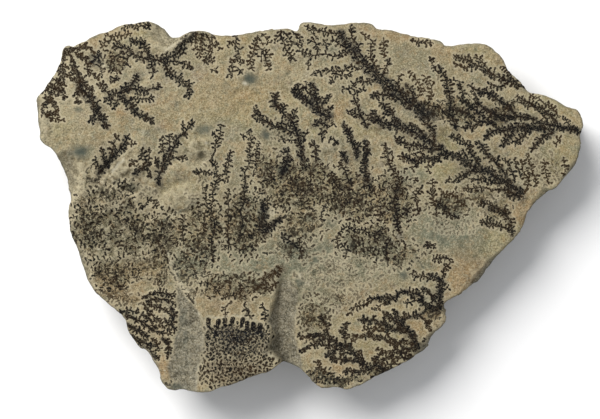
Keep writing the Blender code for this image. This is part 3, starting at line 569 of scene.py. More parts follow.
WARM_AREAS = (
    (118, 111, 9, 4, 0, 0.8), (96, 43, 8, 5, 0, 0.6), (168, 125, 8, 4, 0, 0.5), (70, 96, 10, 14, 0, 0.35),
    (246, 95, 9, 6, 0, 0.7), (339, 111, 8, 11, 0, 0.7), (470, 132, 14, 6, 0, 0.4),
    (515, 143, 9, 6, 0, 0.6), (222, 100, 16, 7, 0, 0.4), (470, 280, 30, 22, 45, 0.9),
    (164, 368, 8, 14, -15, 1), (228, 300, 36, 16, 0, 0.6), (150, 335, 20, 16, 30, 0.6),
    (120, 292, 34, 12, 20, 0.7), (420, 325, 20, 14, 0, 0.6), (338, 366, 18, 9, 0, 0.7),
    (524, 212, 14, 22, -40, 0.7), (240, 95, 50, 20, 0, 0.35), (390, 34, 40, 8, 8, 0.5),
    (340, 112, 16, 16, 0, 0.4), (445, 318, 12, 20, 0, 0.7), (90, 98, 20, 30, 0, 0.3),
    (122, 32, 20, 6, -15, 0.7), (232, 38, 22, 6, 0, 0.5), (500, 60, 24, 10, 0, 0.3),
    (140, 270, 24, 14, 0, 0.5), (240, 372, 34, 14, 0, 0.45), (445, 52, 30, 8, 15, 0.5),
    (570, 120, 12, 12, 0, 0.4), (375, 300, 24, 14, 0, 0.35), (100, 140, 14, 10, 0, 0.3),
)
# Pale areas, some of them painted highlights: the lit rim of the left edge and lit edges of small lumps and
# chips.
PALE_AREAS_AND_HIGHLIGHTS = (
    (74, 90, 34, 36, 0, 0.75), (150, 76, 40, 16, 20, 0.45), (280, 72, 60, 18, 0, 0.25),
    (180, 195, 22, 12, -10, 0.6), (196, 146, 12, 10, 0, 0.5), (128, 160, 12, 14, 30, 0.6),
    (76, 188, 8, 32, 5, 1), (122, 168, 8, 12, -40, 0.8), (84, 265, 6, 22, -25, 0.6),
    (44, 125, 8, 18, -10, 0.9), (178, 42, 18, 10, -30, 1), (205, 135, 14, 12, 0, 0.4),
    (340, 260, 16, 14, 0, 0.4), (113, 204, 10, 8, 0, 0.5), (196, 160, 14, 8, 0, 0.5),
    (330, 144, 10, 8, 0, 0.4), (165, 34, 14, 14, 0, 0.95), (58, 160, 10, 20, -20, 0.65),
    (205, 90, 30, 20, 0, 0.2), (272, 213, 4, 5, 0, 0.6), (412, 116, 10, 4, 20, 0.4),
)
# Spots of grey-green stain as the crumbly places are, a few of them painted shadow beside small lumps,
# and small pale flecks with their reach, some of them painted highlights on the rims of small breaks.
STAINS_AND_SHADOWS = (
    (132, 188, 9, 5, 0.45), (98, 190, 12, 5, 0.35), (152, 176, 10, 5, 0.35), (120, 205, 12, 6, 0.35),
    (192, 202, 8, 3, 0.45), (220, 126, 5, 6, 0.5), (250, 79, 9, 6, 1), (226, 88, 5, 2.6, 0.35),
    (276, 82, 4, 2.2, 0.3), (81, 152, 9, 6, 1), (79, 110, 3.5, 3, 0.8), (205, 130, 10, 5, 0.8),
    (266, 136, 5, 5, 0.9), (284, 169, 7, 7, 0.8), (264, 213, 6, 7, 0.6), (404, 275, 5, 4.5, 0.8),
    (331, 223, 6, 6, 0.5), (402, 177, 5, 4, 0.6), (434, 116, 4, 5, 0.6), (332, 50, 6, 5, 0.45),
    (316, 258, 4, 5, 0.6), (300, 282, 5, 5, 0.7), (403, 52, 7, 7, 0.3), (352, 243, 4, 8, 0.5),
    (452, 216, 9, 3.5, 0.5), (450, 238, 26, 13, 0.24), (436, 226, 5, 4, 0.35), (462, 246, 6, 3, 0.3),
    (184, 345, 10, 34, 0.14), (240, 304, 30, 12, 0.14), (416, 173, 6, 3, 0.3), (310, 251, 26, 14, 0.22),
    (414, 174, 18, 8, 0.18), (236, 368, 34, 16, 0.18), (97, 60, 7, 7, 0.5), (175, 386, 12, 3.5, 0.7),
    (186, 338, 2, 10, 0.5), (184, 318, 4, 8, 0.4), (178, 352, 1.6, 8, 0.3), (128, 312, 8, 3, 0.5),
    (118, 182, 5, 3, 0.6), (204, 154, 4, 3, 0.4), (285, 238, 5, 6, 0.6), (128, 210, 8, 6, 0.4),
    (310, 218, 6, 4, 0.5),
)
FLECKS_AND_HIGHLIGHTS = (
    (245, 84, 2.6), (272, 213, 2.8), (121, 162, 1.6), (114, 170, 1.6), (104, 66, 2), (398, 236, 3),
    (300, 275, 1.8), (307, 283, 2), (430, 117, 1.5), (419, 116, 1.6), (344, 251, 2), (207, 143, 1.6),
)

# Thin pale lines, some of them painted highlights on lit crests and edges, and thin dark lines of
# painted shade under lumps, beside steps and in a crack: x, y, x, y in pixels, half width in pixels,
# strength.
PALE_LINES_AND_HIGHLIGHTS = (
    ((200, 313, 204, 320, 206, 329, 203, 338, 205, 348, 204, 358, 199, 368, 197, 388), 1.2, 0.5),
    ((207, 314, 216, 317, 227, 316, 239, 315, 251, 318, 260, 321, 266, 326), 0.9, 0.6),
    ((168, 252, 171, 262, 175, 272, 178, 280, 188, 292, 196, 302), 1, 0.6),
    ((124, 160, 118, 166, 113, 172), 1.5, 1),
    ((191, 35, 180, 42, 166, 51), 1.3, 0.8),
    ((262, 349, 270, 353, 278, 358), 1.2, 0.6),
    ((103, 54, 105, 62, 104, 70, 108, 80), 0.9, 0.4),
    ((146, 150, 144, 140, 143, 130), 0.9, 0.4),
    ((448, 152, 470, 162, 490, 172, 512, 184), 0.5, 0.35),
    ((484, 162, 500, 172, 508, 178), 0.7, 0.5),
    ((503, 124, 512, 121.5, 522, 122.5, 532, 127), 0.6, 0.5),
    ((452, 156, 464, 163, 478, 170), 0.5, 0.4),
    ((350, 62, 362, 72, 374, 84), 0.5, 0.35),
    ((179, 382, 186, 386), 1.2, 0.5),
)
# Painted shade: shadows under small lumps and beside steps, and shade in a fine crack.
PAINTED_SHADE_LINES = (
    ((194, 203, 188, 207, 181, 211, 174, 214, 167, 219, 159, 225), 1.3, 0.95),
    ((171, 253, 174, 263, 178, 273, 182, 282), 1.2, 0.5),
    ((401, 232, 404, 240, 410, 248, 417, 258, 423, 268), 0.7, 0.8),
    ((115, 178, 120, 182, 127, 184), 1.1, 0.5),
)
# Areas where the oxide lies as a dark haze between the twigs.
HAZE_AREAS = (
    (237, 335, 36, 10, 0, 1.5), (238, 348, 36, 9, 0, 1), (236, 368, 36, 14, 0, 0.75),
    (112, 158, 10, 12, -40, 0.35), (166, 156, 7, 16, 30, 0.35), (282, 130, 18, 16, 0, 0.34),
    (530, 128, 30, 14, 0, 0.34), (478, 166, 32, 20, 20, 0.42), (412, 134, 30, 14, 15, 0.34),
    (362, 352, 34, 18, 0, 0.2), (232, 205, 26, 34, 0, 0.14), (545, 165, 24, 14, 0, 0.12),
    (90, 62, 6, 6, 0, 0.3), (97, 60, 6, 6, 0, 0.9), (98, 112, 6, 9, -20, 0.9), (266, 212, 6, 8, 0, 0.6),
    (346, 156, 6, 7, 0, 0.7), (490, 110, 12, 8, 0, 0.45), (397, 96, 14, 12, 40, 0.4),
    (146, 92, 20, 5, 0, 0.3), (168, 75, 10, 8, 40, 0.4), (468, 168, 24, 7, 30, 0.5),
    (530, 128, 24, 6, 0, 0.5), (166, 300, 10, 5, 0, 0.5), (440, 138, 8, 12, 0, 0.5),
    (412, 340, 8, 10, -30, 0.6), (440, 290, 4, 14, 0, 0.7), (115, 220, 14, 14, 0, 0.25),
    (380, 126, 16, 7, 10, 0.5), (484, 205, 20, 8, 10, 0.25), (510, 194, 14, 6, 10, 0.4),
)

# How the edge crumbles: depth, size and bias of each kind.
EDGE_CRUMBLES = ((0.22, 2.4, 0.5), (0.13, 0.8, 0.3))

# Where the film has broken away beside the tongue: a line and a ramp for the left border of each
# slope, the same for its right border, and a ramp for its top.
BARE_SLOPES = (
    (TONGUE_LEFT_FOOT, (-0.4, 0.4), TONGUE_LEFT_CREST, (-0.4, 0.2), (-16.5, -14.5)),
    (TONGUE_RIGHT_CREST, (0.5, 1.2), NOTCH_RIGHT_EDGE, (-0.6, 0.2), (-15.5, -13.0)),
)
BARE_FLAKE = 1.6

# How rough the face is: plain, crumbled, bare and in patches, and the ramps of patches and pits.
ROUGH_PLAIN = 0.5
ROUGH_CRUMBLY = 1.1
ROUGH_BARE = 0.35
ROUGH_PATCHY = 0.5
ROUGH_PATCH_RAMP = (0.05, 0.4)
PIT_PATCH_RAMP = (-0.1, 0.3)
BARE_FLATS = 0.3
FLAT_LAYER = 3.0
BACK_GRAIN_LIFT = 0.016
BREAK_STEP = 0.4
BREAK_END = 0.25

# The grids of the mesh: room around the outline, and room to the edge in steps.
GRID_MARGIN = 2.0
FACE_MARGIN = 0.5
BACK_MARGIN = 0.6
MERGE_DISTANCE = 1e-7
TINY = 1e-9

# Growth of the oxide in millimetres; a spread is the range that a random factor is drawn from.
GROWTH_SEED = 71
GROWTH_CELL = 0.8
GROWTH_MARGIN = 0.15
STROKE_SPREAD = (0.8, 1.2)
TONE_MOST = 0.99
TONE_SPREAD = 0.12
TWIG_WANDER = 0.2
ROOT_RUN = 2.2 * STROKE
LOBE_LEAN = (45, 75)
LOBE_REACH_MOST = 0.7
LOBE_REACH_LEAST = 0.16
LOBE_REACH_GAIN = 0.3
LOBE_REACH_SPREAD = (0.7, 1.25)
LOBE_WIDTH_SPREAD = (0.85, 1.2)
LOBE_CURL = 0.1
LOBE_FULL_GAP = 0.6
WAVER_SEEDS = 90.0
WAVER_START = 3.0
REACH_SCALE = 1.12
THICK_REACH = 0.9
FILL_GAIN = 0.75
FILL_THICK = 1.3
CROWDING_REACH = 2.5
STEM_ADDED = 0.06
STEM_MOST = 0.3
STEM_TAPER = 0.4
STEM_SPREAD = (0.7, 1.2)
HAZE_TAPER = 0.45
SWELL_SEEDS = 50.0
SWELL_LENGTH = 1.3
SWELL_SIDE = 5.0
SWELL_BASE = 0.85
SWELL_GAIN = 0.7
ROOT_TAPER = (0.45, 2.2)
TIP_TAPER = (0.3, 2.6)
TWIG_SPREAD = (0.75, 1.15)
TWIG_LEAN = (40, 62)
TWIG_CURL = 0.04
TIP_TURNS = (-0.6, 0.0, 0.6)
TIP_SHARE = 0.3
TIP_ADDED = 0.25
# How far apart the twigs of a dense and of an open frond stand, and how clear of each other.
DENSE = (0.25, -0.09)
OPEN = (0.31, -0.01)
DOT_TRIES = 5.0
GROWTH_TRIES = 2.4
THICKET_SPAN = 1.15
THICKET_EDGE = 0.25
CLUMP_SIZE = 2.0
CLUMP_LAYER = 77.0
CLUMP_BASE = 0.72
CLUMP_GAIN = 1.6
THICKET_GAP_LEAST = 0.03
THICKET_GAP_SPREAD = (0.1, 0.7)
THICKET_LEAN = 0.8
THICKET_LENGTH_SPREAD = (0.5, 1.6)
THICKET_WIDTH_SPREAD = (0.75, 1.3)
THICKET_STRENGTH = 1.15
THICKET_CLEARANCE = 0.05
TOOTH_LEAN = 1.2
TOOTH_TONE = 0.05

# The columns of a stroke: its two ends, half width, tone, strength and crowding.
START = slice(0, 2)
END = slice(2, 4)
HALF_WIDTH = 4
TONE = 5
STRENGTH = 6
CROWDING = 7
STRENGTH_STEPS = 10.0
TONE_LIMIT = 0.98
STROKE_EDGE = 0.045

# How the soft areas of colour fade and wander.
AREA_FALL = 0.9
AREA_SHOULDER = 1.4
WIDE_WANDER = ((3.0, 1.3, 51.0), (3.0, 1.3, 57.0))
SMALL_WANDER = ((0.8, 0.35, 61.0), (0.8, 0.35, 67.0))
FLECK_SLIMNESS = 0.7
FLECK_TURN = 20
LINE_STEP = 0.3
RIM_DARKENING_BASE = 0.8
HAZE_STEMS = 6
HAZE_FULL = 0.45
HAZE_RUN = 0.5
LEAST_WEIGHT = 1e-3
CROWD_NET = 0.5
CROWD_REACH = 0.6
NET_DENSITY = 1.12
BARE_LOSS = 0.9

# The patches of colour: scale, detail, roughness and shift of the noise, and where 0 and 1 are.
PATCHES = {
    "drift": (0.11, 4.0, 0.6, (0.0, 0.0, 0.0), 0.35, 0.68),
    "mottle": (0.55, 4.0, 0.6, (0.0, 0.0, 0.0), 0.38, 0.66),
    "rusty": (0.27, 4.0, 0.65, (0.0, 0.0, 0.0), 0.54, 0.68),
    "mauve": (0.31, 4.0, 0.65, (40.0, 9.0, 0.0), 0.53, 0.66),
    "mossy": (0.29, 4.0, 0.65, (9.0, 60.0, 0.0), 0.53, 0.68),
    "crushed": (2.6, 2.0, 0.7, (0.0, 0.0, 0.0), 0.42, 0.58),
    "shade": (0.8, 4.0, 0.7, (0.0, 0.0, 0.0), 0.52, 0.74),
    "warm tint": (1.0, 3.0, 0.7, (17.0, 5.0, 0.0), 0.53, 0.66),
    "green tint": (1.0, 3.0, 0.7, (17.0, 5.0, 0.0), 0.47, 0.34),
    "dark grain": (3.2, 3.0, 0.85, (0.0, 0.0, 0.0), 0.52, 0.61),
    "light grain": (3.2, 3.0, 0.85, (0.0, 0.0, 0.0), 0.47, 0.38),
    "dark grit": (2.9, 1.5, 0.6, (3.0, 71.0, 0.0), 0.54, 0.64),
    "light grit": (2.9, 1.5, 0.6, (3.0, 71.0, 0.0), 0.46, 0.36),
    "specks": (1.9, 2.0, 0.7, (0.0, 33.0, 7.0), 0.66, 0.73),
    "holes": (4.4, 1.0, 0.6, (0.0, 0.0, 0.0), 0.56, 0.66),
}
RAGGED = 0.50
RAGGED_MIDDLE = 0.515
ROCK_ROUGHNESS = 0.86
FILM_ROUGHNESS = 0.7
ROCK_SHINE = 0.08
FINE_BUMP = 0.2
COARSE_BUMP = 0.44

# The floor, the light and the camera: sizes in metres, the camera's distance in millimetres.
FLOOR_SIZE = 3.0
FLOOR_DARK = (0.86, 0.865, 0.88, 1.0)
FLOOR_LIGHT = (0.9, 0.9, 0.91, 1.0)
SKY_COLOUR = (0.96, 0.98, 1.0, 1.0)
SKY_STRENGTH = 0.47
LAMP_SIZE = 0.6
LAMP_POWER = 14.1
LAMP_COLOUR = (1.0, 0.985, 0.955)
LAMP_PLACE = (-0.449, 0.535, 0.723)
CAMERA_DISTANCE = 450.0
SENSOR_WIDTH = 36.0

TAN = (0.280, 0.226, 0.124, 1.0)
GREY_TAN = (0.220, 0.194, 0.118, 1.0)
GREEN_GREY = (0.128, 0.143, 0.100, 1.0)
WARM = (0.300, 0.190, 0.085, 1.0)
OLIVE = (0.262, 0.232, 0.106, 1.0)
PALE_AND_HIGHLIGHT = (0.370, 0.325, 0.212, 1.0)
BARE = (0.022, 0.023, 0.020, 1.0)
BARE_LIGHT = (0.205, 0.196, 0.160, 1.0)
MAUVE = (0.235, 0.200, 0.160, 1.0)
STAIN_AND_SHADE = (0.052, 0.066, 0.056, 1.0)
FLECK_AND_HIGHLIGHT = (0.460, 0.425, 0.325, 1.0)
NET_GROUND = (0.120, 0.108, 0.070, 1.0)
GRAIN_DARK_AND_CREVICE_SHADE = (0.090, 0.074, 0.043, 1.0)
GRAIN_LIGHT_AND_CREST_HIGHLIGHT = (0.450, 0.395, 0.270, 1.0)
FILM_BLACK = (0.0036, 0.0034, 0.0036, 1.0)
FILM_BLUE = (0.014, 0.015, 0.017, 1.0)
FILM_BROWN = (0.030, 0.017, 0.007, 1.0)


def on_face(px, py):
    """The place on the face, in millimetres, that a pixel of the photograph shows."""
    return (px - MIDDLE_PIXEL[0]) * PIXEL, (MIDDLE_PIXEL[1] - py) * PIXEL


def face_line(row):
    """The places on the face of a row of x, y, x, y in pixels."""
    return [on_face(px, py) for px, py in zip(row[::2], row[1::2])]


def ramp(value, start, end):
    """Smooth step from 0 at start to 1 at end."""
    part = np.clip((value - start) / (end - start), 0.0, 1.0)
    return part * part * (3.0 - 2.0 * part)


def along_line(value, line):
    """Reads a line of (value, result) pairs at each value."""
    values, results = zip(*line)
    return np.interp(value, values, results)


def waves(x, y, kind):
    """One kind of wave over the plane, a height for each point."""
    size, height, layer = kind
    return height * np.array([noise.noise((a / size, b / size, layer)) for a, b in zip(x, y)])


def ellipse(x, y, centre_x, centre_y, half_length, half_width, turn):
    """How far each place is from the middle of a turned ellipse, squared: 1 on its edge."""
    angle = math.radians(turn)
    along = (x - centre_x) * math.cos(angle) + (y - centre_y) * math.sin(angle)
    across = (y - centre_y) * math.cos(angle) - (x - centre_x) * math.sin(angle)
    return (along / half_length) ** 2 + (across / half_width) ** 2


def swellings(x, y, shapes):
    """Sum of round-topped ellipses."""
    total = np.zeros_like(x)
    for *shape, height in shapes:
        total += height * np.clip(1.0 - ellipse(x, y, *shape), 0.0, 1.0)
    return total


def soft_areas(x, y, areas):
    """The strongest of some soft ellipses at each place."""
    total = np.zeros_like(x)
    for px, py, half_width, half_height, turn, strength in areas:
        inside = ellipse(x, y, *on_face(px, py), half_width * PIXEL, half_height * PIXEL, -turn)
        total = np.maximum(total, strength * np.exp(-AREA_FALL * inside ** AREA_SHOULDER))
    return total


def unturned(rows):
    """Rows of centre, half width, half height and strength as areas that aren't turned."""
    return [(*row[:4], 0, row[4]) for row in rows]


def smooth_points(points, step, closed=False):
    """Points about a step apart along the smooth curve through the given points."""
    corners = [Vector(point).to_3d() for point in points]
    count = len(corners)
    dense = []
    for index in range(count if closed else count - 1):
        picks = [index + shift for shift in (-1, 0, 1, 2)]
        picks = [pick % count if closed else min(max(pick, 0), count - 1) for pick in picks]
        before, start, end, after = (corners[pick] for pick in picks)
        pieces = max(1, round((end - start).length / step))
        for piece in range(pieces):
            t = piece / pieces
            bend = 2 * before - 5 * start + 4 * end - after
            twist = 3 * start - before - 3 * end + after
            dense.append(start + 0.5 * ((end - before) * t + bend * t * t + twist * t ** 3))
    return dense if closed else dense + [corners[-1]]


def inward_normals(loop, spread):
    """Unit vectors across a clockwise loop, pointing into it, evened out along the edge."""
    count = len(loop)
    normals = []
    for index in range(count):
        along = loop[(index + spread) % count] - loop[(index - spread) % count]
        normals.append(Vector((along.y, -along.x, 0.0)).normalized())
    return normals


def broken_outline():
    """The outline with the small and the fine crumbling of a broken edge."""
    loop = smooth_points(OUTLINE, EDGE_STEP, closed=True)
    moved = []
    for point, normal in zip(loop, inward_normals(loop, EDGE_SPREAD)):
        shift = 0.0
        for depth, size, bias in EDGE_CRUMBLES:
            shift += depth * (bias + noise.noise(point / size))
        moved.append(point + normal * shift)
    return moved


def finder_of(points):
    """A finder of the nearest of some points."""
    finder = KDTree(len(points))
    for index, point in enumerate(points):
        finder.insert(point, index)
    finder.balance()
    return finder


def distances(finder, x, y):
    """How far the nearest of a finder's points is from each place."""
    return np.array([finder.find(Vector((a, b, 0.0)))[2] for a, b in zip(x, y)])


def tongue(x, y):
    """The raised tongue and the notch beside it."""
    rise = along_line(y, TONGUE_RISE)
    depth = along_line(y, NOTCH_DEPTH)
    floor = along_line(y, NOTCH_FLOOR)
    up = ramp(x, along_line(y, TONGUE_LEFT_FOOT), along_line(y, TONGUE_LEFT_CREST))
    down = ramp(x, along_line(y, TONGUE_RIGHT_CREST), floor)
    out = ramp(x, floor, along_line(y, NOTCH_RIGHT_EDGE))
    return rise * up - (rise + depth) * down + depth * out


def ledges(x, y):
    """The scarp at the top edge and the step across the lower left."""
    scarp = ramp(x, SCARP_X - SCARP_WIDTH / 2, SCARP_X + SCARP_WIDTH / 2)
    scarp *= ramp(y, SCARP_END_Y - SCARP_END_RUN, SCARP_END_Y)
    scarp *= 1.0 - ramp(x, SCARP_X, SCARP_X + SCARP_FADE)
    below = along_line(x, STEP_LINE) - y
    step = ramp(below, 0.0, STEP_WIDTH) * (1.0 - ramp(x, *STEP_END_X)) * (1.0 - ramp(below, *STEP_FADE))
    return SCARP_HEIGHT * scarp - STEP_DROP * step


def breaks(x, y):
    """The small sharp breaks: each raises one side of its line, and fades away from it."""
    total = np.zeros_like(x)
    for row, height, fade in BREAKS:
        corners = np.array([point.xy for point in smooth_points(face_line(row), BREAK_STEP)])
        nearest = np.full(len(x), np.inf)
        side = np.zeros(len(x))
        end_fade = np.ones(len(x))
        for index, (start, end) in enumerate(zip(corners[:-1], corners[1:])):
            run = end - start
            share = np.clip(((x - start[0]) * run[0] + (y - start[1]) * run[1]) / (run @ run), 0.0, 1.0)
            off_x = x - start[0] - share * run[0]
            off_y = y - start[1] - share * run[1]
            distance = np.hypot(off_x, off_y)
            closer = distance < nearest
            nearest = np.where(closer, distance, nearest)
            side = np.where(closer, run[0] * off_y - run[1] * off_x, side)
            place = (index + share) / (len(corners) - 1)
            from_end = np.minimum(place, 1.0 - place)
            end_fade = np.where(closer, np.clip(from_end / BREAK_END, 0.0, 1.0), end_fade)
        signed = nearest * np.sign(side)
        raised = ramp(signed, -BREAK_WIDTH / 2, BREAK_WIDTH / 2) * (1.0 - ramp(signed, 0.0, fade))
        total += height * raised * end_fade
    return total


def bare_rock(x, y):
    """1 on the slopes beside the tongue and on the flaked hollows, where the film has broken away."""
    slopes = np.zeros_like(x)
    for left, left_ramp, right, right_ramp, top_ramp in BARE_SLOPES:
        left_x, right_x = along_line(y, left), along_line(y, right)
        slope = ramp(x, left_x + left_ramp[0], left_x + left_ramp[1])
        slope *= 1.0 - ramp(x, right_x + right_ramp[0], right_x + right_ramp[1])
        slopes = np.maximum(slopes, slope * (1.0 - ramp(y, *top_ramp)))
    flaked = swellings(x, y, [(*shape[:5], BARE_FLAKE) for shape in (CHIP, *FLAKES)])
    return np.maximum(slopes, np.clip(flaked, 0.0, 1.0))


def facet_depth(spot):
    """Depth of the tilted flat of rock that a spot is on, blended where two flats meet."""
    gaps, cells = noise.voronoi(spot)
    depths = [(spot - cell).dot(noise.cell_vector(cell * CELL_SPREAD) - CELL_MIDDLE) for cell in cells[:2]]
    share = 0.5 + 0.5 * min(1.0, (gaps[1] - gaps[0]) / FACET_BLEND)
    return 2.0 * FACET_SIZE * FACET_TILT * (depths[0] * share + depths[1] * (1.0 - share))


def small_facet(spot, kind):
    """The depth of a smaller flat, of the same form as the large ones."""
    size, tilt = kind
    return size / FACET_SIZE * tilt / FACET_TILT * facet_depth(spot / size)


def flats(x, y, kind):
    """Small tilted flats over the face, as a broken fine-grained rock shows."""
    return np.array([small_facet(Vector((a, b, FLAT_LAYER)), kind) for a, b in zip(x, y)])


def crumbliness(x, y):
    """How far each place of the face has crumbled, from 0 to 1."""
    return soft_areas(x, y, unturned(CRUMBLY))


def face_height(x, y, edge_distance, bevel_width, bare):
    """Height of the dendrite face over the plane of its plain parts, down to the fine grain."""
    height = tongue(x, y) + swellings(x, y, LUMPS) - swellings(x, y, HOLLOWS) + ledges(x, y) + breaks(x, y)
    height += waves(x, y, SWELLS) + waves(x, y, ROLLS)
    away = np.hypot(x - BUMP_CENTRE[0], y - BUMP_CENTRE[1]) / BUMP_REACH
    height += waves(x, y, BUMPS) * np.clip(BUMP_PEAK - away, BUMP_LEAST, 1.0)
    crumb = crumbliness(x, y)
    rough = ROUGH_PLAIN + ROUGH_CRUMBLY * crumb + ROUGH_BARE * bare
    rough += ROUGH_PATCHY * ramp(waves(x, y, ROUGH_PATCHES), *ROUGH_PATCH_RAMP)
    for ripples in (RIPPLES, FINE_RIPPLES):
        height += rough * waves(x, y, ripples)
    for creases in (CREASES, FINE_CREASES):
        height -= rough * np.abs(waves(x, y, creases))
    height += rough * flats(x, y, FLATS) + np.maximum(crumb, BARE_FLATS * bare) * flats(x, y, CRUMB_FLATS)
    pits = np.clip(waves(x, y, PITS) - PIT_LEAST, 0.0, None)
    height -= PIT_DEPTH * pits * ramp(waves(x, y, PIT_PATCHES), *PIT_PATCH_RAMP)
    return height - BEVEL_SLOPE * np.clip(bevel_width - edge_distance, 0.0, None)


def back_height(x, y, edge_distance):
    """Height of the back over its rest plane: flat in the middle, with hollows and a step outside it."""
    hollow = np.clip(waves(x, y, BACK_HOLLOWS) + BACK_HOLLOW_LEAST, 0.0, None)
    hollow *= ramp(np.hypot(x - BACK_REST_CENTRE_X, y), *BACK_REST_RADIUS)
    step = ramp(x + waves(x, y, BACK_STEP_WANDER), BACK_STEP_X, BACK_STEP_X + BACK_STEP_WIDTH)
    chips = np.clip(BACK_CHIP_WIDTH + waves(x, y, BACK_CHIPS) - edge_distance, 0.0, None)
    grain = np.clip(waves(x, y, BACK_GRAIN) + BACK_GRAIN_LIFT, 0.0, None)
    return hollow + BACK_STEP_HEIGHT * step + BACK_CHIP_SLOPE * chips + grain


def wall_inset(point, level):
    """How far the side wall lies inside the outline, at a level from 0 (back) to 1 (face)."""
    lean = noise.noise(Vector((point.x, point.y, WALL_LEAN_LAYER)) / WALL_LEAN_SIZE)
    lean = max(WALL_LEAN_LEAST, WALL_LEAN + WALL_LEAN_VARIATION * lean)
    undercut = WALL_UNDERCUT * lean * (1.0 - level) ** WALL_CURVE
    spot = Vector((point.x, point.y, level * THICKNESS))
    facet = facet_depth(spot / FACET_SIZE)
    fade = min(1.0, (1.0 - level) / FACET_RIM)
    grain_size, grain_height = WALL_GRAIN
    grain = grain_height * noise.noise(spot / grain_size)
    grain += sum(small_facet(spot, kind) for kind in WALL_FLATS)
    layers = Vector((spot.x / BEDDING_LENGTH, spot.y / BEDDING_LENGTH, spot.z / BEDDING_PITCH))
    grain += BEDDING_DEPTH * noise.noise(layers)
    return undercut + fade * (max(-FACET_PROUD, FACET_INSET + facet) + grain)


def hex_points(step, finder, loop, normals, margin):
    """Points of a hexagonal grid that lie inside the loop, at least a margin from it."""
    points = []
    row = 0
    across, up = np.ptp(np.array([point.xy for point in loop]), axis=0) / 2 + GRID_MARGIN
    y = -up
    while y < up:
        x = -across + (step / 2 if row % 2 else 0.0)
        while x < across:
            spot = Vector((x, y, 0.0))
            nearest, index, distance = finder.find(spot)
            if distance > margin and (spot - nearest).dot(normals[index]) > 0.0:
                points.append((x, y))
            x += step
        y += step * math.sqrt(3) / 2
        row += 1
    return points


def sheet(loop, inner, first):
    """Triangles over the loop and its inner points.

    A face's numbers below len(loop) are the loop's own points, and the others start at first.
    """
    flat = [point.xy for point in loop] + [Vector(point) for point in inner]
    border = [(index, (index + 1) % len(loop)) for index in range(len(loop))]
    _, _, faces, sources, _, _ = delaunay_2d_cdt(flat, border, [], 1, MERGE_DISTANCE)
    numbers = [min(source) for source in sources]
    kept = []
    for face in faces:
        corners = [numbers[corner] for corner in face]
        kept.append([corner if corner < len(loop) else first + corner - len(loop) for corner in corners])
    return kept


def slab_mesh():
    """The slab as (x, y, level) points before it is broken, with its faces and the outline's finder."""
    loop = broken_outline()
    finder = finder_of(loop)
    normals = inward_normals(loop, WALL_SPREAD)
    count = len(loop)
    face_inner = hex_points(FACE_STEP, finder, loop, normals, FACE_MARGIN * FACE_STEP)
    back_inner = hex_points(BACK_STEP, finder, loop, normals, BACK_MARGIN * BACK_STEP)

    points = []
    for ring in range(WALL_RINGS + 1):
        level = 1.0 - ring / WALL_RINGS
        points += [(point.x, point.y, level) for point in loop]
    first_face = len(points)
    points += [(x, y, 1.0) for x, y in face_inner]
    first_back = len(points)
    points += [(x, y, 0.0) for x, y in back_inner]

    faces = sheet(loop, face_inner, first_face)
    front_count = len(faces)
    for ring in range(WALL_RINGS):
        for index in range(count):
            after = (index + 1) % count
            corners = [ring * count + index, ring * count + after]
            below = [(ring + 1) * count + index, (ring + 1) * count + after]
            faces += [[corners[0], corners[1], below[0]], [corners[1], below[1], below[0]]]
    lowest = WALL_RINGS * count
    for face in sheet(loop, back_inner, first_back):
        faces.append([corner + lowest if corner < count else corner for corner in reversed(face)])
    return np.array(points), faces, front_count, finder, normals


def break_surface(points, finder, normals):
    """Moves the even slab's points to the broken rock's.

    Returns the places, the share of bare rock and the distance to the edge.
    """
    moved = points.copy()
    edge_distance = np.empty(len(points))
    bevel_width = np.empty(len(points))
    for row, (x, y, level) in enumerate(points):
        spot = Vector((x, y, 0.0))
        nearest, index, distance = finder.find(spot)
        edge_distance[row] = distance
        bevel_width[row] = BEVEL_WIDTH + BEVEL_VARIATION * noise.noise(nearest / BEVEL_SIZE)
        if level < 1.0 and distance < WALL_REACH:
            spot += normals[index] * wall_inset(nearest, level) * (1.0 - distance / WALL_REACH)
            moved[row, :2] = spot.x, spot.y
    x, y, level = moved.T
    bare = bare_rock(x, y)
    face = THICKNESS + face_height(x, y, edge_distance, bevel_width, bare)
    back = back_height(x, y, edge_distance)
    moved[:, 2] = back + level * (face - back)
    return moved, bare, edge_distance


def varied(draw, value, spread):
    """A value times a random number between the two of the spread."""
    return value * draw.uniform(*spread)


def is_blade(px, py):
    """Whether a frond with its root at this pixel is one of the broad ones."""
    return any(left <= px <= right and top <= py <= bottom for left, top, right, bottom in BLADE_BOXES)


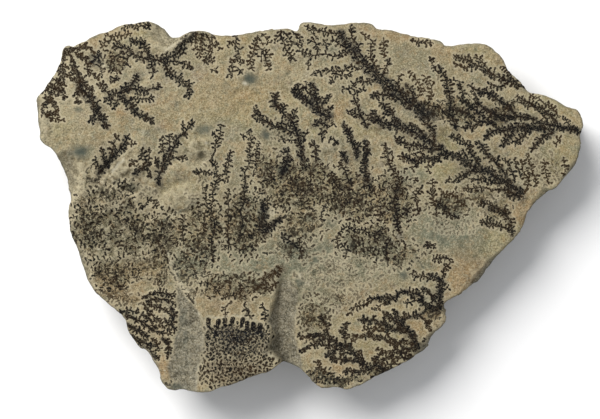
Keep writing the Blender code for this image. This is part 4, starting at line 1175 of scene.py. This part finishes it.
class Growth:
    """The strokes of oxide grown so far, with a grid to find what stands near a place."""

    def __init__(self, finder, normals):
        self.random = random.Random(GROWTH_SEED)
        self.strokes = []
        self.stems = []
        self.cells = {}
        self.finder = finder
        self.normals = normals
        self.owner = 0
        self.crowding = 0.0

    def cell(self, x, y):
        return math.floor(x / GROWTH_CELL), math.floor(y / GROWTH_CELL)

    def on_slab(self, x, y):
        spot = Vector((x, y, 0.0))
        nearest, index, distance = self.finder.find(spot)
        return distance > GROWTH_MARGIN and (spot - nearest).dot(self.normals[index]) > 0.0

    def is_free(self, x, y, half_width, allowed, clearance):
        column, row = self.cell(x, y)
        for near in itertools.product((column - 1, column, column + 1), (row - 1, row, row + 1)):
            for place_x, place_y, width, owner in self.cells.get(near, ()):
                gap = half_width + width + clearance
                if owner not in allowed and (place_x - x) ** 2 + (place_y - y) ** 2 < gap * gap:
                    return False
        return self.on_slab(x, y)

    def add(self, start, end, half_width, tone, strength, owner):
        self.strokes.append((*start, *end, half_width, tone, strength, self.crowding))
        self.cells.setdefault(self.cell(*end), []).append((*end, half_width, owner))

    def new_owner(self):
        self.owner += 1
        return self.owner

    def toned(self, tone):
        """A tone a little off the given one."""
        return min(TONE_MOST, max(0.0, tone + self.random.gauss(0.0, TONE_SPREAD)))

    def twig(self, start, heading, length, half_width, tone, strength, parent, depth, clearance, curl=0.0):
        """Grows one twig with its own smaller twigs and lobes, as far as there is room."""
        draw = self.random
        owner = self.new_owner()
        x, y = start
        grown = 0.0
        since = 0.5 * LOBE_GAP
        side = draw.choice((-1, 1))
        while grown < length:
            heading += curl + draw.gauss(0.0, TWIG_WANDER)
            step = varied(draw, STROKE, STROKE_SPREAD)
            end = x + math.cos(heading) * step, y + math.sin(heading) * step
            allowed = (owner, parent) if grown < ROOT_RUN else (owner,)
            if not self.is_free(*end, half_width, allowed, clearance):
                break
            knob = KNOB_LEAST + KNOB_GAIN * min(1.0, grown / length)
            self.add((x, y), end, varied(draw, half_width * knob, STROKE_SPREAD), tone, strength, owner)
            x, y = end
            grown += step
            since += step
            if depth and since >= LOBE_GAP:
                angle = heading + side * math.radians(draw.uniform(*LOBE_LEAN))
                reach = min(LOBE_REACH_MOST, LOBE_REACH_LEAST + LOBE_REACH_GAIN * (length - grown))
                reach = varied(draw, reach, LOBE_REACH_SPREAD)
                width = varied(draw, LOBE_HALF_WIDTH, LOBE_WIDTH_SPREAD)
                self.twig((x, y), angle, reach, width, tone, strength, owner, depth - 1, clearance,
                          -side * LOBE_CURL)
                side = -side
                since = 0.0 if draw.random() < LOBE_FULL_GAP else 0.5 * LOBE_GAP

    def wavering(self, stem):
        """Bends a stem gently from side to side, away from its root."""
        seed = self.random.uniform(0.0, WAVER_SEEDS)
        moved = [stem[0]]
        for index in range(1, len(stem)):
            along = (stem[index] - stem[index - 1]).normalized()
            grown = min(1.0, index * STROKE / WAVER_START)
            shift = WAVER * grown * noise.noise((index * STROKE / WAVER_LENGTH, seed, 0.0))
            moved.append(stem[index] + Vector((-along.y, along.x)) * shift)
        return moved

    def frond(self, row, reach, thick, tone):
        """Grows a fern-like frond: short lobed twigs crowd both sides of a thin stem."""
        draw = self.random
        stem = self.wavering([point.xy for point in smooth_points(face_line(row), STROKE)])
        spread = REACH_SCALE * (reach + THICK_REACH * thick) * PIXEL
        fill = min(1.0, max(0.0, FILL_GAIN * (thick - FILL_THICK)))
        self.crowding = 1.0 if reach > CROWDING_REACH else 0.0
        pitch, clearance = DENSE if thick >= DENSE_STEM else OPEN
        twig_width = TWIG_HALF_WIDTH
        if is_blade(*row[:2]):
            twig_width *= BLADE_GAIN
            clearance = BLADE_CLEARANCE
            tone += BLADE_TONE
        owner = self.new_owner()
        total = len(stem) - 1
        side = draw.choice((-1, 1))
        since = pitch
        sides = []
        waver = draw.uniform(0.0, SWELL_SEEDS)
        for index, (start, end) in enumerate(zip(stem[:-1], stem[1:])):
            share = index / total
            width = min(0.5 * thick * PIXEL + STEM_ADDED, STEM_MOST) * (1.0 - STEM_TAPER * share)
            width = varied(draw, width, STEM_SPREAD)
            if self.on_slab(*end):
                self.add(tuple(start), tuple(end), width, self.toned(tone), 1.0, owner)
                if index % 2 == 0:
                    self.stems.append((end.x, end.y, spread * (1.0 - HAZE_TAPER * share), fill))
            since += (end - start).length
            while since >= pitch:
                heading = math.atan2(end.y - start.y, end.x - start.x)
                swell = noise.noise((index * STROKE / SWELL_LENGTH, side * SWELL_SIDE, waver))
                taper = min(1.0, ROOT_TAPER[0] + ROOT_TAPER[1] * share)
                taper *= min(1.0, TIP_TAPER[0] + TIP_TAPER[1] * (1.0 - share))
                length = varied(draw, spread * (SWELL_BASE + SWELL_GAIN * swell) * taper, TWIG_SPREAD)
                sides.append((tuple(end), heading, side, length))
                side = -side
                since -= pitch
        draw.shuffle(sides)
        for place, heading, turn, length in sides:
            lean = math.radians(draw.uniform(*TWIG_LEAN))
            self.twig(place, heading + turn * lean, length / math.sin(lean), twig_width, self.toned(tone),
                      1.0, owner, 1, clearance, -turn * TWIG_CURL)
        tip = stem[-1]
        heading = math.atan2(tip.y - stem[-2].y, tip.x - stem[-2].x)
        for turn in TIP_TURNS:
            self.twig(tuple(tip), heading + turn, TIP_SHARE * spread + TIP_ADDED, twig_width,
                      self.toned(tone), 1.0, owner, 1, clearance)

    def thicket(self, px, py, half_width, half_height, spacing, steps, tone, strength):
        """Fills an area with small separate growths wherever there is room."""
        draw = self.random
        middle = on_face(px, py)
        half_width, half_height = half_width * PIXEL, half_height * PIXEL
        dots = steps == 1
        tries = int((DOT_TRIES if dots else GROWTH_TRIES) * half_width * half_height * 4 / spacing ** 2)
        for _ in range(tries):
            u = draw.uniform(-THICKET_SPAN, THICKET_SPAN)
            v = draw.uniform(-THICKET_SPAN, THICKET_SPAN)
            if u * u + v * v > 1.0 + draw.gauss(0.0, THICKET_EDGE):
                continue
            place = middle[0] + u * half_width, middle[1] + v * half_height
            clump = noise.noise((place[0] / CLUMP_SIZE, place[1] / CLUMP_SIZE, CLUMP_LAYER))
            if not dots and draw.random() > CLUMP_BASE + CLUMP_GAIN * clump:
                continue
            gap = max(THICKET_GAP_LEAST, varied(draw, spacing - 2 * LOBE_HALF_WIDTH, THICKET_GAP_SPREAD))
            if not self.is_free(*place, LOBE_HALF_WIDTH, (), gap):
                continue
            heading = math.pi / 2 + draw.gauss(0.0, THICKET_LEAN)
            length = STROKE * max(1.0, varied(draw, steps, THICKET_LENGTH_SPREAD))
            width = varied(draw, TWIG_HALF_WIDTH, THICKET_WIDTH_SPREAD)
            self.twig(place, heading, length, width, self.toned(tone), min(1.0, THICKET_STRENGTH * strength),
                      0, 0 if dots else 1, THICKET_CLEARANCE)

    def teeth(self):
        """Grows the row of blunt teeth across the tongue."""
        owner = self.new_owner()
        for px, py, lean in TEETH:
            start = on_face(px, py + TOOTH_LENGTH / 2)
            end = on_face(px + TOOTH_LEAN * lean, py - TOOTH_LENGTH / 2 + TOOTH_HEAD)
            middle = (start[0] + end[0]) / 2, (start[1] + end[1]) / 2
            self.add(start, middle, TOOTH_HALF_WIDTH * PIXEL, TOOTH_TONE, 1.0, owner)
            self.add(middle, end, TOOTH_HEAD * PIXEL, TOOTH_TONE, 1.0, owner)


def grow_dendrites(finder, normals):
    """All strokes of oxide on the face, and the stems with how full of oxide the ground round each is."""
    growth = Growth(finder, normals)
    growth.teeth()
    for row, reach, thick, tone in FRONDS:
        growth.frond(row, reach, thick, tone)
    growth.crowding = 0.0
    for thicket in THICKETS:
        growth.thicket(*thicket)
    strokes = np.array(growth.strokes)
    x, y = ((strokes[:, START] + strokes[:, END]) / 2).T
    return strokes[bare_rock(x, y) < 0.5], np.array(growth.stems)


def stroke_distance(x, y, strokes):
    """Distance from each place to its stroke's edge, less than 0 inside."""
    start = strokes[..., START]
    run = strokes[..., END] - start
    offset = np.stack([x, y], axis=-1) - start
    share = np.clip((offset * run).sum(-1) / np.maximum((run * run).sum(-1), TINY), 0.0, 1.0)
    return np.linalg.norm(offset - share[..., None] * run, axis=-1) - strokes[..., HALF_WIDTH]


def stroke_finder(strokes):
    """A finder of the strokes by their middles."""
    return finder_of([Vector((s[0] + s[2], s[1] + s[3], 0.0)) / 2 for s in strokes])


def nearest_strokes(places, strokes):
    """The few strokes nearest to each place."""
    finder = stroke_finder(strokes)
    wanted = 2 * NEIGHBOURS + 2
    found = np.zeros((len(places), wanted), dtype=int)
    for row, (x, y) in enumerate(places):
        found[row] = [hit[1] for hit in finder.find_n(Vector((x, y, 0.0)), wanted)]
    distance = stroke_distance(places[:, None, 0], places[:, None, 1], strokes[found])
    order = np.argsort(distance, axis=1)[:, :NEIGHBOURS]
    return found[np.arange(len(places))[:, None], order]


def write_attribute(mesh, name, domain, values):
    made = mesh.attributes.new(name, "FLOAT_VECTOR", domain)
    made.data.foreach_set("vector", values.astype(np.float32).ravel())


def read_vertices(mesh, name):
    values = np.empty(len(mesh.vertices) * 3)
    mesh.vertices.foreach_get(name, values)
    return values.reshape(-1, 3)


def hollowness(mesh):
    """How far each point lies below its surroundings, from -1 on a crest to 1 in a crevice."""
    count = len(mesh.vertices)
    places = read_vertices(mesh, "co")
    edges = np.empty(len(mesh.edges) * 2, dtype=np.int32)
    mesh.edges.foreach_get("vertices", edges)
    first, second = edges.reshape(-1, 2).T
    shares = np.bincount(first, minlength=count) + np.bincount(second, minlength=count)
    evened = places
    for _ in range(HOLLOW_ROUNDS):
        sums = np.empty_like(evened)
        for axis in range(3):
            sums[:, axis] = np.bincount(first, evened[second, axis], count)
            sums[:, axis] += np.bincount(second, evened[first, axis], count)
        evened = sums / shares[:, None]
    depth = ((evened - places) * read_vertices(mesh, "normal")).sum(axis=1)
    return np.clip(depth / (HOLLOW_DEPTH * MM), -1.0, 1.0)


def stem_haze(x, y, stems):
    """How full of oxide the ground is between the twigs of the thick fronds."""
    finder = finder_of([Vector((stem[0], stem[1], 0.0)) for stem in stems])
    total = np.zeros_like(x)
    for row, (a, b) in enumerate(zip(x, y)):
        for _, index, distance in finder.find_n(Vector((a, b, 0.0)), HAZE_STEMS):
            _, _, spread, fill = stems[index]
            away = max(0.0, distance / spread - HAZE_FULL) / HAZE_RUN
            total[row] = max(total[row], fill * (1.0 - min(1.0, away)))
    return total


def along_lines(x, y, lines):
    """The strongest of some thin soft lines at each place."""
    total = np.zeros_like(x)
    for row, half_width, strength in lines:
        near = distances(finder_of(smooth_points(face_line(row), LINE_STEP)), x, y)
        total = np.maximum(total, strength * np.exp(-((near / (half_width * PIXEL)) ** 2)))
    return total


def wandered(x, y, kinds):
    """The places that each place takes its colour from, so that borders wander."""
    return x + waves(x, y, kinds[0]), y + waves(x, y, kinds[1])


def net_ground(places, strokes, x, y):
    """How close the fine net of oxide is at each place, and how brown it is."""
    density = soft_areas(*places, unturned([row[:4] + row[-1:] for row in THICKETS if row[5] > 1]))
    brown = np.zeros_like(x)
    weight = np.full_like(x, LEAST_WEIGHT)
    for *area, _, _, tone, strength in THICKETS:
        here = soft_areas(*places, unturned([(*area, strength)]))
        brown += here * tone
        weight += here
    gap = distances(stroke_finder(strokes[strokes[:, CROWDING] > 0.5]), x, y)
    return np.maximum(density, CROWD_NET * np.exp(-((gap / CROWD_REACH) ** 2))), brown / weight


def paint_grounds(mesh, x, y, bare, edge_distance, on_front, strokes, stems):
    """Writes how the ground looks at each point, painted shade and highlights too, three values to an
    attribute.
    """
    wide = wandered(x, y, WIDE_WANDER)
    small = wandered(x, y, SMALL_WANDER)
    # The pale areas hold painted highlights on the lit left rim and on the edges of lumps and chips.
    green, warm, pale_and_highlight, olive, haze = (soft_areas(*wide, areas) for areas in
                                      (GREEN_AREAS, WARM_AREAS, PALE_AREAS_AND_HIGHLIGHTS, OLIVE_AREAS, HAZE_AREAS))
    # The face is darker along its rim, in patches.
    rim_darkening = RIM_DARKENING * np.exp(-((edge_distance / RIM_DARKENING_WIDTH) ** 2))
    rim_darkening *= np.clip(RIM_DARKENING_BASE + waves(x, y, RIM_DARKENING_PATCHES), 0.0, 1.0)
    # Real stains together with painted shadow lines under lumps and beside steps.
    stain_and_shade = np.maximum(soft_areas(*small, unturned(STAINS_AND_SHADOWS)), along_lines(*small, PAINTED_SHADE_LINES))
    # Pale flecks and lines, some of them painted highlights on lit crests and edges.
    flecks_and_highlights = [(px, py, reach, FLECK_SLIMNESS * reach, FLECK_TURN, 1.0) for px, py, reach in FLECKS_AND_HIGHLIGHTS]
    fleck_and_highlight = np.maximum(soft_areas(*small, flecks_and_highlights), along_lines(*small, PALE_LINES_AND_HIGHLIGHTS))
    front = on_front > 0.5
    crumb = np.where(front, np.maximum(crumbliness(x, y), BARE_CRUMB * bare), WALL_CRUMB)
    # The hollowness sets painted shade in crevices and a painted highlight on crests.
    hollow = hollowness(mesh) * np.where(front, 1.0, WALL_CREVICE_SHADE)
    density, brown = net_ground(wide, strokes, x, y)
    film_left = (1.0 - BARE_LOSS * bare) * on_front
    haze = np.maximum(stem_haze(x, y, stems), haze)
    attributes = {
        "ground": (green * on_front, warm * on_front, pale_and_highlight * on_front),
        "marks_shade_and_highlight": (np.where(front, bare, WALL_BARE), np.maximum(stain_and_shade, rim_darkening) * on_front, fleck_and_highlight * on_front),
        "relief": (hollow, crumb, olive * on_front),
        "netting": (NET_DENSITY * density * film_left, brown, haze * film_left),
    }
    for name, values in attributes.items():
        write_attribute(mesh, name, "POINT", np.stack(values, axis=1))


def write_film(mesh, centres, front, strokes):
    """Writes, for each face of the mesh, the strokes of oxide that can touch it."""
    chosen = nearest_strokes(centres[front], strokes)
    for rank in range(NEIGHBOURS):
        start = np.tile((0.0, 0.0, -UNREACHED), (len(centres), 1))
        end = np.tile((1.0, 0.0, 0.0), (len(centres), 1))
        picked = strokes[chosen[:, rank]]
        code = np.round(picked[:, STRENGTH] * STRENGTH_STEPS) + np.clip(picked[:, TONE], 0.0, TONE_LIMIT)
        start[front] = np.column_stack([picked[:, START], picked[:, HALF_WIDTH]])
        end[front] = np.column_stack([picked[:, END], code])
        write_attribute(mesh, f"stroke_{rank}_start", "FACE", start)
        write_attribute(mesh, f"stroke_{rank}_end", "FACE", end)


class Tree:
    """Short ways to add and join the nodes of one node tree."""

    def __init__(self, tree):
        self.tree = tree

    def node(self, kind, **settings):
        made = self.tree.nodes.new(kind)
        for name, value in settings.items():
            setattr(made, name, value)
        return made

    def feed(self, socket, value):
        if isinstance(value, bpy.types.NodeSocket):
            self.tree.links.new(value, socket)
        elif value is not None:
            socket.default_value = value

    def maths(self, operation, first, second=None, third=None, clamp=False):
        made = self.node("ShaderNodeMath", operation=operation, use_clamp=clamp)
        for socket, value in zip(made.inputs, (first, second, third)):
            self.feed(socket, value)
        return made.outputs[0]

    def times(self, first, second):
        return self.maths("MULTIPLY", first, second)

    def linear(self, value, gain, start, clamp=False):
        return self.maths("MULTIPLY_ADD", value, gain, start, clamp)

    def vector(self, operation, first, second=None, scale=None):
        made = self.node("ShaderNodeVectorMath", operation=operation)
        self.feed(made.inputs[0], first)
        self.feed(made.inputs[1], second)
        if scale is not None:
            self.feed(made.inputs["Scale"], scale)
        return made.outputs["Value"] if operation in ("DOT_PRODUCT", "LENGTH") else made.outputs["Vector"]

    def smooth(self, value, low, high, start=0.0, end=1.0):
        made = self.node("ShaderNodeMapRange", interpolation_type="SMOOTHSTEP")
        for name, item in zip(("Value", "From Min", "From Max", "To Min", "To Max"),
                              (value, low, high, start, end)):
            self.feed(made.inputs[name], item)
        return made.outputs["Result"]

    def mix(self, factor, first, second):
        made = self.node("ShaderNodeMix", data_type="RGBA")
        self.feed(made.inputs[0], factor)
        self.feed(made.inputs[6], first)
        self.feed(made.inputs[7], second)
        return made.outputs[2]

    def mix_number(self, factor, first, second):
        made = self.node("ShaderNodeMix", data_type="FLOAT")
        self.feed(made.inputs[0], factor)
        self.feed(made.inputs[2], first)
        self.feed(made.inputs[3], second)
        return made.outputs[0]

    def noise(self, place, scale, detail=3.0, roughness=0.6, name="Fac"):
        made = self.node("ShaderNodeTexNoise")
        self.feed(made.inputs["Vector"], place)
        made.inputs["Scale"].default_value = scale
        made.inputs["Detail"].default_value = detail
        made.inputs["Roughness"].default_value = roughness
        return made.outputs[name]

    def attribute(self, name):
        made = self.node("ShaderNodeAttribute", attribute_name=name)
        made.attribute_type = "GEOMETRY"
        return made.outputs["Vector"]

    def parts(self, vector):
        made = self.node("ShaderNodeSeparateXYZ")
        self.feed(made.inputs[0], vector)
        return made.outputs


def flat_nodes(tree, place, scale):
    """Height of small tilted flats: each cell of the broken rock leans its own way."""
    spot = tree.vector("SCALE", place, scale=scale)
    cells = tree.node("ShaderNodeTexVoronoi")
    cells.inputs["Scale"].default_value = 1.0
    tree.feed(cells.inputs["Vector"], spot)
    away = tree.vector("SUBTRACT", spot, cells.outputs["Position"])
    lean = tree.vector("SUBTRACT", cells.outputs["Color"], (0.5, 0.5, 0.5))
    return tree.vector("DOT_PRODUCT", away, lean)


def stroke_nodes(tree, place, rank, ragged):
    """How strongly one stroke covers the place, its tone, and how deep inside it the place is."""
    start = tree.attribute(f"stroke_{rank}_start")
    end = tree.attribute(f"stroke_{rank}_end")
    flat_start = tree.vector("MULTIPLY", start, (1.0, 1.0, 0.0))
    flat_end = tree.vector("MULTIPLY", end, (1.0, 1.0, 0.0))
    run = tree.vector("SUBTRACT", flat_end, flat_start)
    offset = tree.vector("SUBTRACT", place, flat_start)
    length_squared = tree.maths("MAXIMUM", tree.vector("DOT_PRODUCT", run, run), 1e-6)
    share = tree.maths("DIVIDE", tree.vector("DOT_PRODUCT", offset, run), length_squared, clamp=True)
    gap = tree.vector("LENGTH", tree.vector("SUBTRACT", offset, tree.vector("SCALE", run, scale=share)))
    inside = tree.maths("ADD", tree.maths("SUBTRACT", tree.parts(start)[2], gap), ragged)
    code = tree.parts(end)[2]
    strength = tree.times(tree.maths("FLOOR", code), 1.0 / STRENGTH_STEPS)
    cover = tree.times(tree.smooth(inside, -STROKE_EDGE, STROKE_EDGE), strength)
    return cover, tree.maths("FRACT", code), inside


def film_nodes(tree, place, ragged):
    """The cover and tone of the stroke that covers the place most, and the depth in the deepest."""
    flat = tree.vector("MULTIPLY", place, (1.0, 1.0, 0.0))
    *best, deepest = stroke_nodes(tree, flat, 0, ragged)
    for rank in range(1, NEIGHBOURS):
        *other, inside = stroke_nodes(tree, flat, rank, ragged)
        fuller = tree.maths("GREATER_THAN", other[0], best[0])
        best = [tree.mix_number(fuller, old, new) for old, new in zip(best, other)]
        deepest = tree.maths("MAXIMUM", deepest, inside)
    return *best, deepest


def net_nodes(tree, place, density):
    """Fine netted growth: lines of a bent noise, broken and thickened by a second one, in clumps."""
    bend = tree.vector("SUBTRACT", tree.noise(place, 1.3, 2.0, name="Color"), (0.5, 0.5, 0.5))
    bent = tree.vector("ADD", place, tree.vector("SCALE", bend, scale=1.1))
    wave = tree.noise(bent, 1.75, 1.5, 0.5)
    from_line = tree.maths("ABSOLUTE", tree.maths("SUBTRACT", wave, 0.5))
    lump = tree.maths("SUBTRACT", tree.noise(place, 2.8, 2.0, 0.65), 0.5)
    clump = tree.smooth(tree.noise(place, 0.42, 2.0), 0.34, 0.64, 0.35, 1.25)
    width = tree.linear(tree.times(density, clump), 0.16, -0.05)
    width = tree.linear(lump, 0.34, width)
    net = tree.smooth(tree.maths("SUBTRACT", width, from_line), -0.015, 0.035)
    thin = tree.smooth(tree.noise(place, 1.3, 3.0, 0.7), 0.38, 0.62, 0.62, 1.0)
    return tree.times(net, thin)


def patch(tree, place, name):
    """One kind of soft patch over the rock, 0 to 1."""
    scale, detail, roughness, shift, low, high = PATCHES[name]
    spot = tree.vector("ADD", place, shift)
    return tree.smooth(tree.noise(spot, scale, detail, roughness), low, high)


def ground_nodes(tree, place, shares):
    """The colour of the rock under the oxide: layers of colour, some of them painted shade and highlights,
    each laid over the ones before.
    """
    green, warm, pale_and_highlight, bare, stain_and_shade, fleck_and_highlight, hollow, crumb, olive, netting = shares
    whole = tree.linear(bare, -0.8, 1.0)
    crushed = tree.mix(patch(tree, place, "crushed"), BARE, BARE_LIGHT)
    # Painted shade in crevices and painted highlight on crests, strongest where the rock is crumbly.
    crevice_shade_and_crest_light = tree.times(hollow, tree.linear(crumb, 0.85, 0.15))
    crevice_shade_and_crest_light = tree.times(crevice_shade_and_crest_light, tree.linear(bare, -0.5, 1.0))
    crystals = tree.linear(crumb, 0.05, tree.noise(place, 1.7, 2.0, 0.7))
    layers = (
        (tree.times(patch(tree, place, "rusty"), 0.55), WARM),
        (tree.times(patch(tree, place, "mauve"), 0.6), MAUVE),
        (tree.times(patch(tree, place, "mossy"), 0.6), GREEN_GREY),
        (green, GREEN_GREY),
        (tree.times(olive, 0.8), OLIVE),
        (warm, WARM),
        # Pale ground, with painted highlights on lit edges.
        (pale_and_highlight, PALE_AND_HIGHLIGHT),
        (tree.times(bare, tree.linear(pale_and_highlight, -0.8, 0.9)), crushed),
        (tree.times(patch(tree, place, "mottle"), 0.2), GRAIN_LIGHT_AND_CREST_HIGHLIGHT),
        (tree.times(patch(tree, place, "shade"), tree.times(whole, 0.35)), GRAIN_DARK_AND_CREVICE_SHADE),
        (tree.times(netting, 0.5), NET_GROUND),
        (tree.times(patch(tree, place, "warm tint"), tree.times(whole, 0.4)), WARM),
        (tree.times(patch(tree, place, "green tint"), tree.times(whole, 0.45)), GREEN_GREY),
        (tree.times(patch(tree, place, "dark grain"), 0.74), GRAIN_DARK_AND_CREVICE_SHADE),
        (tree.times(patch(tree, place, "light grain"), tree.linear(bare, -0.34, 0.70)), GRAIN_LIGHT_AND_CREST_HIGHLIGHT),
        (tree.times(patch(tree, place, "dark grit"), tree.times(crumb, 0.75)), GRAIN_DARK_AND_CREVICE_SHADE),
        (tree.times(patch(tree, place, "light grit"), tree.times(crumb, 0.85)), GRAIN_LIGHT_AND_CREST_HIGHLIGHT),
        # Painted shade in crevices, then painted highlight on crests.
        (tree.maths("MULTIPLY", crevice_shade_and_crest_light, 0.8, clamp=True), GRAIN_DARK_AND_CREVICE_SHADE),
        (tree.maths("MULTIPLY", crevice_shade_and_crest_light, -0.85, clamp=True), GRAIN_LIGHT_AND_CREST_HIGHLIGHT),
        (tree.times(tree.smooth(crystals, 0.655, 0.72), 0.6), FLECK_AND_HIGHLIGHT),
        (tree.times(patch(tree, place, "specks"), 0.7), GRAIN_DARK_AND_CREVICE_SHADE),
        # Stains, painted shadow lines and the darker rim.
        (tree.times(stain_and_shade, 0.9), STAIN_AND_SHADE),
        # Pale flecks and lines, with painted highlights on lit crests and edges.
        (fleck_and_highlight, FLECK_AND_HIGHLIGHT),
    )
    colour = tree.mix(tree.times(patch(tree, place, "drift"), 0.8), TAN, GREY_TAN)
    for share, layer in layers:
        colour = tree.mix(share, colour, layer)
    return colour


def oxide_nodes(tree, place, colour, pale_and_highlight, fleck_and_highlight, netting, net_tone, haze):
    """Lays the strokes, the net and the haze of oxide over the ground's colour."""
    ragged = tree.linear(tree.noise(place, 3.0, 2.0, 0.6), RAGGED, -RAGGED_MIDDLE * RAGGED)
    film, tone, inside = film_nodes(tree, place, ragged)
    rim = tree.times(tree.smooth(inside, -0.55, -0.12), tree.smooth(netting, 0.75, 0.55))
    colour = tree.mix(tree.times(rim, tree.linear(pale_and_highlight, 0.4, 0.45)), colour, GRAIN_LIGHT_AND_CREST_HIGHLIGHT)
    holes = patch(tree, place, "holes")
    film = tree.times(film, tree.linear(holes, -0.4, 1.0))
    film = tree.times(film, tree.linear(fleck_and_highlight, -0.85, 1.0))

    net = net_nodes(tree, place, netting)
    tone = tree.mix_number(tree.maths("GREATER_THAN", net, film), tone, net_tone)
    film = tree.maths("MAXIMUM", film, net)
    brownness = tree.linear(tree.linear(patch(tree, place, "mottle"), 1.0, -0.5), 0.4, tone, clamp=True)
    patchy = tree.smooth(tree.noise(place, 1.9, 2.0, 0.6), 0.62, 0.42, 0.5, 0.97)
    haze = tree.times(haze, tree.times(patchy, tree.linear(holes, -0.8, 1.0)))
    colour = tree.mix(haze, colour, tree.mix(tone, FILM_BLUE, FILM_BROWN))
    return film, tree.mix(film, colour, tree.mix(brownness, FILM_BLACK, FILM_BROWN))


def bump_nodes(tree, strength, distance, height, normal=None):
    made = tree.node("ShaderNodeBump")
    inputs = {"Strength": strength, "Distance": distance, "Height": height, "Normal": normal}
    for name, value in inputs.items():
        tree.feed(made.inputs[name], value)
    return made.outputs["Normal"]


def rock_material():
    material = bpy.data.materials.new("pale rock with oxide dendrites")
    material.use_nodes = True
    tree = Tree(material.node_tree)
    shader = material.node_tree.nodes["Principled BSDF"]
    coordinates = tree.node("ShaderNodeTexCoord").outputs["Object"]
    place = tree.vector("SCALE", coordinates, scale=1.0 / MM)

    green, warm, pale_and_highlight = tree.parts(tree.attribute("ground"))
    bare, stain_and_shade, fleck_and_highlight = tree.parts(tree.attribute("marks_shade_and_highlight"))
    hollow, crumb, olive = tree.parts(tree.attribute("relief"))
    netting, net_tone, haze = tree.parts(tree.attribute("netting"))
    shares = (green, warm, pale_and_highlight, bare, stain_and_shade, fleck_and_highlight, hollow, crumb, olive, netting)
    ground = ground_nodes(tree, place, shares)
    film, colour = oxide_nodes(tree, place, ground, pale_and_highlight, fleck_and_highlight, netting, net_tone, haze)
    tree.feed(shader.inputs["Base Color"], colour)
    tree.feed(shader.inputs["Roughness"], tree.mix_number(film, ROCK_ROUGHNESS, FILM_ROUGHNESS))
    shader.inputs["Specular IOR Level"].default_value = ROCK_SHINE

    grain = tree.noise(place, 3.2, 3.0, 0.85)
    fine = bump_nodes(tree, 0.7, FINE_BUMP * MM, tree.times(grain, tree.linear(crumb, 1.2, 1.0)))
    swell = tree.times(tree.noise(place, 1.2, 5.0, 0.65), tree.linear(crumb, 0.3, 0.7))
    shards = tree.linear(flat_nodes(tree, place, 2.3), 0.5, flat_nodes(tree, place, 1.1))
    height = tree.linear(shards, tree.linear(crumb, 1.5, 0.12), swell)
    tree.feed(shader.inputs["Normal"], bump_nodes(tree, 0.75, COARSE_BUMP * MM, height, fine))
    return material


def build_slab():
    points, faces, front_count, finder, normals = slab_mesh()
    places, bare, edge_distance = break_surface(points, finder, normals)
    strokes, stems = grow_dendrites(finder, normals)

    # The fine slab is centred on the node that it stands for, and the strokes go with it.
    low, high = (np.array(corner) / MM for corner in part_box(NODE))
    shift = (low[:2] + high[:2] - places[:, :2].max(axis=0) - places[:, :2].min(axis=0)) / 2

    mesh = bpy.data.meshes.new("psilomelane_slab")
    placed = places + (*shift, 0.0)
    mesh.from_pydata((placed * MM).tolist(), [], faces)
    moved_strokes = strokes.copy()
    moved_strokes[:, START] += shift
    moved_strokes[:, END] += shift

    on_front = np.where(points[:, 2] == 1.0, 1.0, 0.0)
    paint_grounds(mesh, places[:, 0], places[:, 1], bare, edge_distance, on_front, strokes, stems)
    centres = placed[np.array(faces)][:, :, :2].mean(axis=1)
    front = np.arange(len(faces)) < front_count
    write_film(mesh, centres, front, moved_strokes)
    mesh.shade_smooth()
    mesh.materials.append(rock_material())
    slab = bpy.data.objects.new("psilomelane_slab", mesh)
    bpy.context.scene.collection.objects.link(slab)
    return slab, shift


def floor_material():
    material = bpy.data.materials.new("white paper floor")
    material.use_nodes = True
    tree = Tree(material.node_tree)
    shader = material.node_tree.nodes["Principled BSDF"]
    place = tree.node("ShaderNodeTexCoord").outputs["Object"]
    fibre = tree.noise(place, 90.0, 3.0)
    tree.feed(shader.inputs["Base Color"], tree.mix(fibre, FLOOR_DARK, FLOOR_LIGHT))
    shader.inputs["Roughness"].default_value = 0.9
    return material


def build_stage():
    bpy.ops.mesh.primitive_grid_add(x_subdivisions=4, y_subdivisions=4, size=FLOOR_SIZE)
    floor = bpy.context.object
    floor.name = "floor"
    floor.data.materials.append(floor_material())


def build_lights():
    world = bpy.data.worlds.new("studio")
    world.use_nodes = True
    background = world.node_tree.nodes["Background"]
    background.inputs["Color"].default_value = SKY_COLOUR
    background.inputs["Strength"].default_value = SKY_STRENGTH
    bpy.context.scene.world = world

    lamp = bpy.data.lights.new("window light", "AREA")
    lamp.shape = "RECTANGLE"
    lamp.size = LAMP_SIZE
    lamp.size_y = LAMP_SIZE
    lamp.energy = LAMP_POWER
    lamp.color = LAMP_COLOUR
    window = bpy.data.objects.new("window light", lamp)
    window.location = LAMP_PLACE
    window.rotation_euler = (-window.location).to_track_quat("-Z", "Y").to_euler()
    bpy.context.scene.collection.objects.link(window)


def build_camera(shift):
    """Looks straight down, framed as the photograph is, with the shift that centred the slab."""
    camera = bpy.data.cameras.new("camera")
    camera.sensor_width = SENSOR_WIDTH
    camera.lens = SENSOR_WIDTH * CAMERA_DISTANCE / (PHOTO_WIDTH * PIXEL * FRAMING)
    camera.clip_start = 0.01
    camera.clip_end = 10.0
    viewer = bpy.data.objects.new("camera", camera)
    x, y = on_face(*PHOTO_MIDDLE)
    viewer.location = ((x + shift[0]) * MM, (y + shift[1]) * MM, (THICKNESS + CAMERA_DISTANCE) * MM)
    bpy.context.scene.collection.objects.link(viewer)
    bpy.context.scene.camera = viewer


def main():
    build_stage()
    build_lights()
    slab, shift = build_slab()
    build_camera(shift)
    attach(slab, "root")
    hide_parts(NODE)
    bpy.context.scene.view_settings.view_transform = "Standard"


main()
